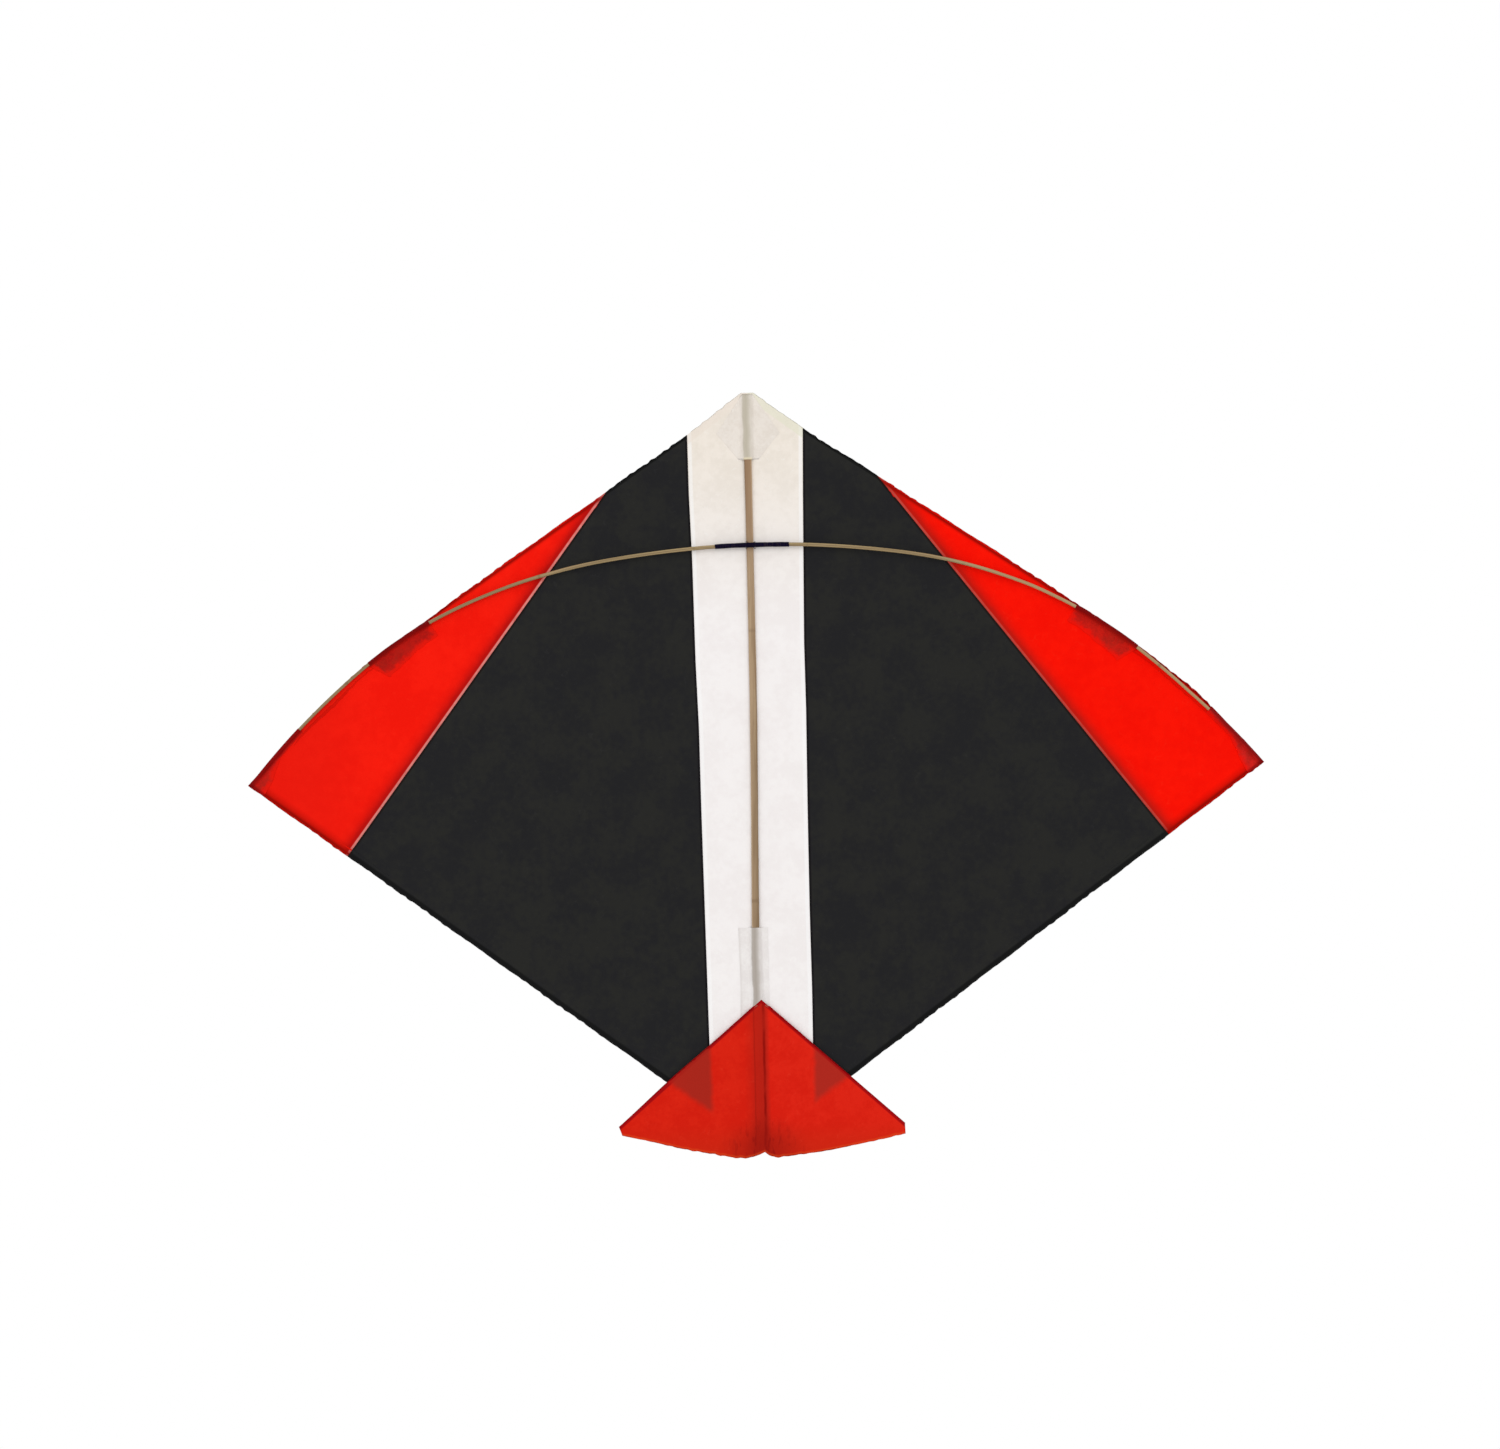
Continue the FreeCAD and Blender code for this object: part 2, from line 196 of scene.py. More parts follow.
class BowArc:
    """One arc of the bow's half: it leaves start at a heading below level and reaches end."""

    def __init__(self, start, heading, end):
        chord = math.atan2(end[1] - start[1], end[0] - start[0])
        self.start_heading = heading
        self.end_heading = 2 * chord - heading
        self.radius = math.dist(start, end) / (2 * sin(chord - heading))
        self.centre = (start[0] - self.radius * sin(heading), start[1] + self.radius * cos(heading))

    def points(self, headings, offset=0.0):
        reach = self.radius + offset
        x, drop = self.centre
        return stack([x + reach * sin(headings), drop - reach * cos(headings)], axis=-1)


def bow_arcs():
    arcs, start, heading = [], (0.0, CROSSING_DROP), 0.0
    for x, fall in BOW_POINTS:
        end = (x, CROSSING_DROP + fall)
        arcs.append(BowArc(start, heading, end))
        start, heading = end, arcs[-1].end_heading
    return arcs


ARCS = bow_arcs()
PATCH_ARC, TIP_ARC = ARCS[3], ARCS[4]


def nose_tangent():
    """Heading on the patch arc where the straight leading edge from the nose touches the paper's curve."""
    along, down = PATCH_ARC.centre
    return math.asin((PATCH_ARC.radius + EDGE_BEYOND_BOW) / math.hypot(along, down)) - math.atan2(along, down)


EDGE_HEADING = nose_tangent()
EDGE_END = tuple(PATCH_ARC.points(EDGE_HEADING, EDGE_BEYOND_BOW))
TIP_HEADING = math.asin((TIP[0] - TIP_ARC.centre[0]) / (TIP_ARC.radius + EDGE_BEYOND_BOW))
LEADING_LINE = ((0.0, 0.0), EDGE_END)
SEAM = (between(*LEADING_LINE, SEAM_TOP_X / EDGE_END[0]), SEAM_LOW)
LIMB_ROOT_X = meet(*SEAM, (0, CROSSING_DROP), (1, CROSSING_DROP))[0]
EDGE_SLOPE = EDGE_END[1] / EDGE_END[0]


def trailing_line(side):
    return (0.0, TRAILING_AIM[side]), TIP


def leading_curve():
    """The curved part of the leading edge, from the end of the straight part to the tip."""
    first = PATCH_ARC.points(linspace(EDGE_HEADING, PATCH_ARC.end_heading, 20), EDGE_BEYOND_BOW)
    second = TIP_ARC.points(linspace(TIP_ARC.start_heading, TIP_HEADING, 40)[1:], EDGE_BEYOND_BOW)
    return concatenate([first, second])


LEADING_CURVE = leading_curve()


def leading_drop(x):
    return np.where(x < EDGE_END[0], x * EDGE_SLOPE, interp(x, LEADING_CURVE[:, 0], LEADING_CURVE[:, 1]))


def wander(table, side, place):
    return interp(place, *zip(*table[side]))


def bow_line(side):
    """The bow's centre line from the crossing to its end: (x, y, drop)."""
    runs = []
    for arc in ARCS:
        last = arc.end_heading - (BOW_END_GAP / arc.radius if arc is TIP_ARC else 0)
        count = max(4, int(arc.radius * (last - arc.start_heading) / BOW_STEP))
        headings = linspace(arc.start_heading, last, count)[(arc is not ARCS[0]):]
        runs.append(arc.points(headings, wander(BOW_WANDER, side, arc.points(headings)[:, 0])))
    flat = concatenate(runs)
    return stack([flat[:, 0], bow_y(flat[:, 0]), flat[:, 1]], axis=1)


def bow_y(x):
    """How far the bow's centre stands in front of the sail: the limbs lean back towards the tips."""
    lean = (BOW_TIP_Y - BOW_Y) / (BOW_POINTS[-1][0] - LIMB_ROOT_X)
    return BOW_Y + clip(x - LIMB_ROOT_X, 0, None) * lean


def sail_y(x, drop, side):
    """How far the sail lies behind its front plane: not at all on the spine and along the leading edge, a
    little between, with pull lines from the tip and a flutter along the trailing edge."""
    left = side == "left"
    top, low = leading_drop(x), interp(x, [0, TIP[0]], [TRAILING_AIM[side], TIP[1]])
    down = clip((drop - top) / np.maximum(low - top, 1.0), 0, 1)
    out = clip(x / TIP[0], 0, 1)
    fullness = 1.7 * sin(pi * down ** 0.9) * sin(pi * out ** 0.8) * smooth(x, 3, 60)
    reach = np.hypot(TIP[0] - x, TIP[1] - drop)
    angle = np.arctan2(drop - TIP[1], TIP[0] - x)
    pull = 0.22 * sin(angle * 34 + (1.3 if left else 0.2)) * smooth(reach, 12, 70)
    pull = pull * (1 - smooth(reach, 120, 260)) * sin(pi * down) ** 0.5
    flutter = 0.55 * smooth(down, 0.7, 1.0) * sin(x / 11.0 + (0.7 if left else 2.1)) * smooth(x, 88, 130)
    flutter = flutter * smooth(TIP[0] - x, 5, 60) * (0.6 + 0.4 * sin(x / 29.0))
    return fullness + pull + flutter


# Building meshes

def link(name, data):
    obj = bpy.data.objects.new(name, data)
    bpy.context.scene.collection.objects.link(obj)
    return obj


class Piece:
    """A mesh under construction. Points are (x outwards, y, drop) in millimetres, on the half of the kite
    that side names, and they may carry values for the material."""

    def __init__(self, name, side="right", weld=0.02, flat_rim=False):
        self.name, self.side, self.weld, self.flat_rim = name, side, weld, flat_rim
        self.points, self.faces, self.values = [], [], {}
        self.count = 0

    def add(self, points, **values):
        """Add points and their values, and return the points' indices."""
        points = np.asarray(points, float)
        shape = points.shape[:-1]
        index = self.count + np.arange(points.size // 3).reshape(shape)
        self.points.append(points.reshape(-1, 3) * (SIDES[self.side], 1, 1))
        for key in {**self.values, **values}:
            held = self.values.setdefault(key, [np.zeros(self.count)])
            held.append(np.broadcast_to(values.get(key, 0.0), shape).reshape(-1))
        self.count += index.size
        return index

    def grid(self, points, ends=(), **values):
        """Add a grid of points (rows, columns, 3). With ends given each row is a ring, and a fan of
        triangles to each of the two ends closes the first and the last."""
        index = self.add(points, **values)
        if len(ends):
            index = concatenate([index, index[:, :1]], axis=1)
        quads = stack([index[:-1, :-1], index[:-1, 1:], index[1:, 1:], index[1:, :-1]], axis=-1)
        quads = quads.reshape(-1, 4)
        self.faces += (quads[:, ::-1] if self.side == "left" else quads).tolist()
        for ring, end in zip((index[0], index[-1]), ends):
            middle = int(self.add(end))
            self.faces += [[int(a), int(b), middle] for a, b in zip(ring[:-1], ring[1:])]

    def make(self, material, slot, thickness):
        """The finished object: paper where a thickness is given, and a closed solid otherwise."""
        world = concatenate(self.points) * (1, 1, -1) + (0, 0, CROSSING_DROP)
        mesh = bpy.data.meshes.new(self.name)
        mesh.from_pydata((world * MM).tolist(), [], self.faces)
        rest = mesh.attributes.new("rest", "FLOAT_VECTOR", "POINT")
        rest.data.foreach_set("vector", world.astype(np.float32).ravel())
        for key, held in self.values.items():
            attribute = mesh.attributes.new(key, "FLOAT", "POINT")
            attribute.data.foreach_set("value", concatenate(held).astype(np.float32))
        bm = bmesh.new()
        bm.from_mesh(mesh)
        bmesh.ops.remove_doubles(bm, verts=bm.verts, dist=self.weld * MM)
        bmesh.ops.dissolve_degenerate(bm, edges=bm.edges, dist=self.weld * MM / 10)
        if not thickness:
            bmesh.ops.recalc_face_normals(bm, faces=bm.faces)
        bm.to_mesh(mesh)
        bm.free()
        mesh.validate()
        mesh.shade_smooth()
        mesh.materials.append(material)
        obj = link(self.name, mesh)
        if thickness:
            shell = obj.modifiers.new("thickness", "SOLIDIFY")
            shell.thickness = thickness * MM
            shell.offset = 0.0
        if self.flat_rim:  # the rim's thin faces don't shade the paper beside them
            obj.modifiers.new("normals", "WEIGHTED_NORMAL").keep_sharp = False
        return obj


def tube(piece, path, radii, sides, **values):
    """Add a round tube along path, with closed ends. along, ca and sa say where a point is on it."""
    path = np.asarray(path, float)
    radii = np.broadcast_to(radii, len(path))
    forward = unit(np.gradient(path, axis=0))
    across = np.zeros_like(path)
    side = np.cross(forward[0], (0.0, 1.0, 0.0))
    if np.linalg.norm(side) < 0.1:
        side = np.array((1.0, 0.0, 0.0))
    for k, f in enumerate(forward):
        side = unit(side - f * (side @ f))
        across[k] = side
    other = np.cross(forward, across)
    angle = linspace(0, 2 * pi, sides, endpoint=False)
    c, s = cos(angle), sin(angle)
    rings = path[:, None] + radii[:, None, None] * (c[:, None] * across[:, None] + s[:, None] * other[:, None])
    bulge = forward * radii[:, None] * 0.3
    values = {"along": lengths(path)[:, None], "ca": c, "sa": s, **values}
    piece.grid(rings, (path[0] - bulge[0], path[-1] + bulge[-1]), **values)


def with_y(flat, y):
    """(x, drop) points and a y for each, as (x, y, drop)."""
    return stack([flat[..., 0], np.broadcast_to(y, flat.shape[:-1]), flat[..., 1]], axis=-1)


def waver(along, phase):
    """The small unevenness of a hand-folded edge."""
    ragged = 0.22 * sin(along / 1.31 + phase) + 0.17 * sin(along / 0.83 + 2.1 * phase)
    return 0.15 * sin(along / 6.1 + phase) + ragged * (0.6 + 0.4 * sin(along / 17.0 + phase)) - 0.08


def along_and_inward(flat):
    """The length along a row of (x, drop) points on the sail's outline, and the way into the sail at each."""
    tangent = unit(np.gradient(flat, axis=0))
    inward = stack([-tangent[:, 1], tangent[:, 0]], axis=1)
    middle = np.array([60.0, 240.0])
    inward = inward * np.sign(((middle - flat) * inward).sum(axis=1, keepdims=True))
    return lengths(flat), inward


# A folded hem, as (inset from the edge, how far behind the panel)
HEM_SECTION = [(0.0, 0.0), (-0.14, 0.12), (-0.1, 0.36), (0.25, 0.66), (0.8, 0.82), (1.6, 0.84), (2.2, 0.7),
               (2.8, 0.42), (3.5, 0.24), (5.0, 0.2)]


def add_hem(piece, edge, phase, narrowed=(0.0, 0.0)):
    """Fold the paper back behind an edge, over the thread in it. edge holds (x, y, drop) points.
    narrowed gives how far from each end the fold reaches its full width."""
    flat = edge[:, ::2]
    along, inward = along_and_inward(flat)
    width = np.ones(len(flat))
    for end, reach in ((along, narrowed[0]), (along[-1] - along, narrowed[1])):
        if reach:
            width = width * (0.25 + 0.75 * clip(end / reach, 0, 1))
    rows = []
    for inset, behind in HEM_SECTION:
        spread = inset * width * (1 + 0.12 * sin(along / 9.0 + phase) * (inset > 3))
        place = flat + inward * spread[:, None]
        place[:, 0] = np.maximum(place[:, 0], 0)
        rows.append(with_y(place, edge[:, 1] + behind))
    insets = np.abs([[inset] for inset, _ in HEM_SECTION])
    piece.grid(stack(rows), edge=insets, trail=insets, seam=NO_EDGE, lap=NO_EDGE)


def hem_to_seam(piece, points, seam, *hems):
    """Hem a panel's top and bottom rows as far as its outer seam. hems gives each one's phase and narrowed."""
    for row, hem in zip((points[0], points[-1]), hems):
        add_hem(piece, row[distance_to_line(row[:, ::2], seam) < 0.4], *hem)


def waved_edge(flat, phase, out=0.0):
    """Move a boundary row in and out a little, square to itself, and out by a given amount."""
    along, inward = along_and_inward(flat)
    fade = np.minimum(1, np.minimum(along, along[-1] - along) / 8.0)
    return flat - inward * (waver(along, phase) * fade + out)[:, None]


def folded_edge_distance(flat, side):
    """Distances in millimetres from the folded leading edge and from the folded trailing edge."""
    x, drop = flat[..., 0], flat[..., 1]
    nose = np.minimum(np.abs(distance_to_line(flat, ((NOSE_HALF, 0.0), SEAM[0]))), np.abs(drop))
    lead = np.where(x < SEAM[0][0], nose, np.abs(distance_to_line(flat, LEADING_LINE)))
    curved = x > EDGE_END[0]
    lead[curved] = np.linalg.norm(flat[curved][:, None] - LEADING_CURVE[None, ::2], axis=-1).min(axis=1)
    return lead, np.abs(distance_to_line(flat, trailing_line(side)))


def coons(top, low, inner, outer):
    """A grid of (x, drop) between four curves: top and low run outwards, inner and outer run down."""
    u = linspace(0, 1, len(top))[None, :, None]
    v = linspace(0, 1, len(inner))[:, None, None]
    ruled = (1 - v) * top[None] + v * low[None] + (1 - u) * inner[:, None] + u * outer[:, None]
    corners = (1 - v) * ((1 - u) * top[0] + u * top[-1]) + v * ((1 - u) * low[0] + u * low[-1])
    return ruled - corners


def count_for(length, cell):
    return max(2, int(round(length / cell)) + 1)


def rows_between(start, end, cell=CELL):
    return count_for(math.dist(start, end), cell)


# Paper panels of the sail

def add_sail_grid(piece, flat, behind=0.0, **values):
    """Add a grid of (x, drop) places to a panel, moved as the centre panel's seams wander. Beside an outer
    edge they slide along it. Returns the (x, y, drop) points."""
    lead, trail = folded_edge_distance(flat, piece.side)
    x, drop = flat[..., 0], flat[..., 1]
    push = wander(SEAM_WANDER, piece.side, drop) * smooth(x, 4, 30) * smooth(-x, -95, -38)
    (_, aim), tip = trailing_line(piece.side)
    slide = EDGE_SLOPE * smooth(-lead, -40, 0) + (tip[1] - aim) / tip[0] * smooth(-trail, -40, 0)
    x, drop = x + push, drop + push * slide
    points = stack([x, sail_y(x, drop, piece.side) + SAIL_Y + behind, drop], axis=-1)
    piece.grid(points, edge=lead, trail=trail, **values)
    return points


def centre_half(side):
    piece = Piece("centre_sheet_" + side, side, flat_rim=True)
    lapped = shifted(*SEAM, WHITE_LAP)
    middle, corner, tail = (0.0, 0.0), (NOSE_HALF, 0.0), (0.0, TAIL_DROP)
    top_out, low_out = meet(*lapped, *LEADING_LINE), meet(*lapped, *trailing_line(side))
    nose, edge = 4, rows_between(corner, top_out, EDGE_CELL)
    down = rows_between(middle, tail)
    top = concatenate([linspace(middle, corner, nose + 1)[:-1],
                       waved_edge(linspace(corner, top_out, edge), 0.4 if side == "left" else 2.2)])
    low = waved_edge(linspace(tail, low_out, nose + edge), 1.1)
    flat = coons(top, low, linspace(middle, tail, down), linspace(top_out, low_out, down))
    beyond = distance_to_line(flat, SEAM)
    points = add_sail_grid(piece, flat, LAYER * 1.3 * smooth(beyond, -0.8, 0.3), seam=-beyond)
    hem_to_seam(piece, points, SEAM, (0.9, (7.0, 0.0)), (2.0,))
    return piece


def black_panel(side):
    piece = Piece("black_sheet_" + side, side)
    seam, trailing = TIP_SEAM[side], trailing_line(side)
    lapped = shifted(*seam, LAP)
    top_in, low_in = SEAM[0], meet(*SEAM, *trailing)
    top_out, low_out = meet(*lapped, *LEADING_LINE), meet(*lapped, *trailing)
    across, down = rows_between(low_in, low_out, EDGE_CELL), rows_between(top_in, low_in)
    phase = 0.2 if side == "left" else 1.7
    top = linspace(top_in, top_out, across)
    top = waved_edge(top, phase, -0.8 * smooth(-top[:, 0], -75, -37))
    low = waved_edge(linspace(low_in, low_out, across), phase + 1.0)
    flat = coons(top, low, linspace(top_in, low_in, down), linspace(top_out, low_out, down))
    beyond = distance_to_line(flat, seam)
    points = add_sail_grid(piece, flat, LAYER * 1.3 * smooth(beyond, -1.2, 0.2),
                           seam=distance_to_line(flat, SEAM), lap=-beyond)
    hem_to_seam(piece, points, seam, (phase + 0.3,), (phase + 1.9,))
    return piece


def tip_panel(side):
    piece = Piece("tip_sheet_" + side, side)
    seam, trailing = TIP_SEAM[side], trailing_line(side)
    top_in, low_in = meet(*seam, *LEADING_LINE), meet(*seam, *trailing)
    along, across = rows_between(top_in, low_in, EDGE_CELL), rows_between(low_in, TIP, EDGE_CELL)
    phase = 2.6 if side == "left" else 0.8
    top = resample(concatenate([[top_in], LEADING_CURVE]), along)
    top = waved_edge(top, phase, wander(EDGE_WANDER, side, top[:, 0]))
    outer = waved_edge(linspace(TIP, low_in, across), phase + 0.7)
    flat = coons(top, linspace(top_in, low_in, along), linspace(top_in, top_in, across), outer)
    points = add_sail_grid(piece, flat, seam=distance_to_line(flat, seam))
    add_hem(piece, points[0], phase + 0.5, (14.0, 7.0))
    add_hem(piece, points[:, -1], phase + 1.5, (7.0, 0.0))
    return piece


# Sticks

def bow_radius(x):
    return BOW_R + (BOW_TIP_R - BOW_R) * clip((x - LIMB_ROOT_X) / (BOW_POINTS[-1][0] - LIMB_ROOT_X), 0, 1)


def knots(along, places):
    """How near each point along a stick is to one of the bamboo's joints, from 0 to 1."""
    return sum((np.exp(-(((along - place) / 1.1) ** 2)) for place in places), np.zeros(len(along)))


def bow_part(name, side, centre, places=()):
    """The bow from the crossing to the wing's root, or from there to its end."""
    path = bow_line(side)
    length = lengths(path)
    root = interp(LIMB_ROOT_X, path[:, 0], length)
    kept = np.sort(np.append(length, root))
    kept = kept[kept <= root] if centre else kept[kept >= root]
    path = stack([interp(kept, length, path[:, k]) for k in range(3)], axis=1)
    knot = knots(kept, places)
    shaved = 1 + 0.018 * sin(kept / 17.0 + 1.3) + 0.012 * sin(kept / 5.3)
    under_binding = 0.95 - 0.04 * smooth(-path[:, 0], -30, -18)
    piece = Piece(name, side)
    radii = bow_radius(path[:, 0]) * shaved * (1 + 0.09 * knot) * under_binding
    tube(piece, path, radii, 16, knot=knot[:, None], along=kept[:, None])
    return piece


def spine_x(drop):
    """The stick was not laid quite straight: it drifts to one side towards the tail."""
    return -0.45 - 2.6 * smooth(drop, 150, 400) + 1.1 * smooth(drop, 325, 385)


def spine_part():
    piece = Piece("spine_strip")
    top, low = SPINE_DROPS
    drops = linspace(top, low, 190)
    knot = knots(drops, (142.0, 305.0))
    angle = linspace(0, 2 * pi, 36, endpoint=False)
    c, s = cos(angle), sin(angle)
    half = SPINE_HALF_W * (0.86 + 0.02 * sin(drops / 23) + 0.012 * sin(drops / 6.1) + 0.02 * knot)
    half = half * (0.72 + 0.28 * smooth(drops, top, top + 7) * smooth(-drops, -low, 6.5 - low))
    x = spine_x(drops)[:, None] + half[:, None] * np.sign(c) * np.abs(c) ** 0.32
    thick = SPINE_T / 2 * (0.97 + 0.02 * sin(drops / 31.0))
    y = -SPINE_T / 2 - thick[:, None] * np.sign(s) * np.abs(s) ** 0.42
    points = stack([x, np.minimum(y, 0.0), np.broadcast_to(drops[:, None], x.shape)], axis=-1)
    ends = [(spine_x(drop), -SPINE_T / 2, drop + over) for drop, over in ((top, -0.1), (low, 0.2))]
    piece.grid(points, ends, along=drops[:, None], ca=c, sa=s, knot=knot[:, None])
    return piece


def splint_part(side):
    piece = Piece("fin_splint_strip_" + side, side)
    edge = shifted((0.0, FIN_APEX_DROP), FIN_CORNER[side], -0.9)
    length, count = math.dist(*edge), 40
    start, end = between(*edge, SPLINT_START / length), between(*edge, 1 - SPLINT_END_GAP / length)
    path = with_y(linspace(start, end, count), -1.3 + 0.05 * sin(linspace(0, 5, count)))
    tube(piece, path, linspace(SPLINT_R, SPLINT_R * 0.8, count), 12)
    return piece


# Threads

def plied(piece, path, radius, pitch, sides):
    """A thread of two strands, each laid round the path."""
    ply = radius * 0.54
    forward = unit(np.gradient(path, axis=0))
    side = unit(np.cross(forward, (0.0, 1.0, 0.05)))
    other = np.cross(forward, side)
    for phase in (0, pi):
        turn = (lengths(path) / pitch * 2 * pi + phase)[:, None]
        tube(piece, path + (radius - ply) * (cos(turn) * side + sin(turn) * other), ply, sides)


def bow_drop(x):
    """The drop of the bow's centre near the crossing, at x to the right or left of the spine."""
    first = ARCS[0]
    fall = first.radius - np.sqrt(first.radius ** 2 - np.square(x))
    left, right = (wander(BOW_WANDER, side, np.abs(x)) for side in SIDES)
    return CROSSING_DROP + fall - np.where(np.asarray(x) < 0, left, right)


def binding_part():
    """The thread wound side by side round the bow, over the spine."""
    rng = np.random.default_rng(7)
    piece = Piece("binding_whipping", weld=0.0)
    low, high = BINDING_ENDS
    turns = int((high - low) / (2 * BINDING_THREAD_R * 0.98))
    t = linspace(0, turns, turns * 14)
    at_turn = np.arange(turns + 2)
    x = low + (high - low) * t / turns + interp(t, at_turn, rng.normal(0, 0.04, turns + 2))
    radius = BOW_R + BINDING_THREAD_R + interp(t, at_turn, rng.random(turns + 2)) * 0.05
    radius = radius + 0.05 * sin(x / 2.3) * sin(x / 7.1)
    angle = 2 * pi * t
    path = stack([x, BOW_Y - radius * cos(angle), bow_drop(x) - radius * sin(angle)], axis=1)
    tube(piece, path, BINDING_THREAD_R * 1.06, 6)
    tucked = linspace(0.3, 4.2, 14)
    for x in (low + tucked, high - tucked):
        path = stack([x, BOW_Y - 1.42 - 0.12 * sin(tucked * 1.1), bow_drop(x) - 0.4], axis=1)
        tube(piece, path, BINDING_THREAD_R * 0.9, 6)
    return piece


def lashing_part():
    """Two diagonal turns over the crossing, each down beside the spine and across the back of the sail."""
    piece = Piece("cross_lashing_thread", weld=0.0)
    half_w, half_h, middle = 2.8, 2.0, float(bow_drop(0.0))
    angles = np.radians(range(-100, 101, 10))
    for way, lift in ((1, 0.0), (-1, 2 * LASHING_THREAD_R + 0.05)):
        reach = BOW_R * 0.93 + 2 * BINDING_THREAD_R + LASHING_THREAD_R + 0.1 + lift
        front = stack([way * sin(angles) * (half_w - 0.5), BOW_Y - reach * cos(angles),
                       middle - reach * sin(angles)], axis=1)
        back = 0.35 + LASHING_THREAD_R + lift
        x, high, low = way * half_w, middle - half_h, middle + half_h
        behind = [(x, -0.6, high), (x * 0.98, back * 0.8, high), (0.0, back, middle),
                  (-x * 0.98, back * 0.8, low), (-x, -0.6, low)]
        path = resample(concatenate([front, behind, front[:1]]), 160)
        for _ in range(3):
            path = (np.roll(path, 1, axis=0) + path * 2 + np.roll(path, -1, axis=0)) / 4
        plied(piece, path, LASHING_THREAD_R, 1.2, 6)
    return piece


def hem_threads(name, side, centre):
    """The threads in the sail's folded edges, along the centre panel or along a wing."""
    piece = Piece(name, side, weld=0.0)
    seam_low = meet(*SEAM, *trailing_line(side))
    if centre:
        runs = [(linspace((NOSE_HALF, 0.0), SEAM[0], 20), 2.0, 0.4),
                (linspace((0.0, TAIL_DROP), seam_low, 20), 0.5, 0.4)]
    else:
        lead = resample(concatenate([[SEAM[0]], LEADING_CURVE]), 150)
        lead = waved_edge(lead, 0.0, wander(EDGE_WANDER, side, lead[:, 0]) - 0.4)
        runs = [(lead, 0.4, 1.6), (linspace(seam_low, TIP, 160), 0.4, 1.6)]
    for flat, start_gap, end_gap in runs:
        flat = resample(flat, count_for(math.dist(flat[0], flat[-1]), 0.9))
        along, inward = along_and_inward(flat)
        keep = (along >= start_gap) & (along <= along[-1] - end_gap)
        place = (flat + inward * HEM_INSET)[keep]
        path = with_y(place, sail_y(place[:, 0], place[:, 1], side) + 0.52)
        plied(piece, path, HEM_THREAD_R * 0.8, 2.4, 5)
    return piece


# Glued paper over the sticks

def over_spine_y(x, drop):
    """Paper pulled down over the spine on to the sail on each side of it, and over its top end."""
    lift, foot = 0.16, 1.3
    away = np.abs(x - spine_x(drop)) - SPINE_HALF_W
    over = interp(away, [-0.5, -0.1, 0.3, foot + 0.3, foot + 1.2],
                  [-SPINE_T - lift, -SPINE_T * 0.96 - lift * 0.8, -SPINE_T * 0.8, -0.08, 0.03])
    return over * smooth(drop, 0.7, 1.9)


def patch_over_spine(name, left, right, drops, columns):
    """Paper from left to right, which give x at each drop."""
    piece = Piece(name, flat_rim=True)
    x = linspace(left, right, columns, axis=1)
    drop = np.broadcast_to(drops[:, None], x.shape)
    stick = x - spine_x(drop)
    y = over_spine_y(x, drop) + 0.03 * sin(drop / 3.3 + x / 2.1) * clip(np.abs(stick) - 3, 0, 1)
    piece.grid(stack([x, y, drop], axis=-1), stick=stick, left=x - left[:, None], end=drops[-1] - drop)
    return piece


def nose_patch():
    top, wide, low = NOSE_PATCH_DROPS
    drops = concatenate([linspace(top, wide, 20), linspace(wide, low, 14)[1:]])
    half = interp(drops, NOSE_PATCH_DROPS, NOSE_PATCH_HALF_WIDTHS)
    return patch_over_spine("nose_patch_paper", -half, half, drops, 48)


def lower_patch():
    low, high = LOWER_PATCH_SIDES
    drops = linspace(*LOWER_PATCH_DROPS, 34)
    return patch_over_spine("lower_patch_paper", low + 0.25 * sin(drops / 9), high + 0 * drops, drops, 40)


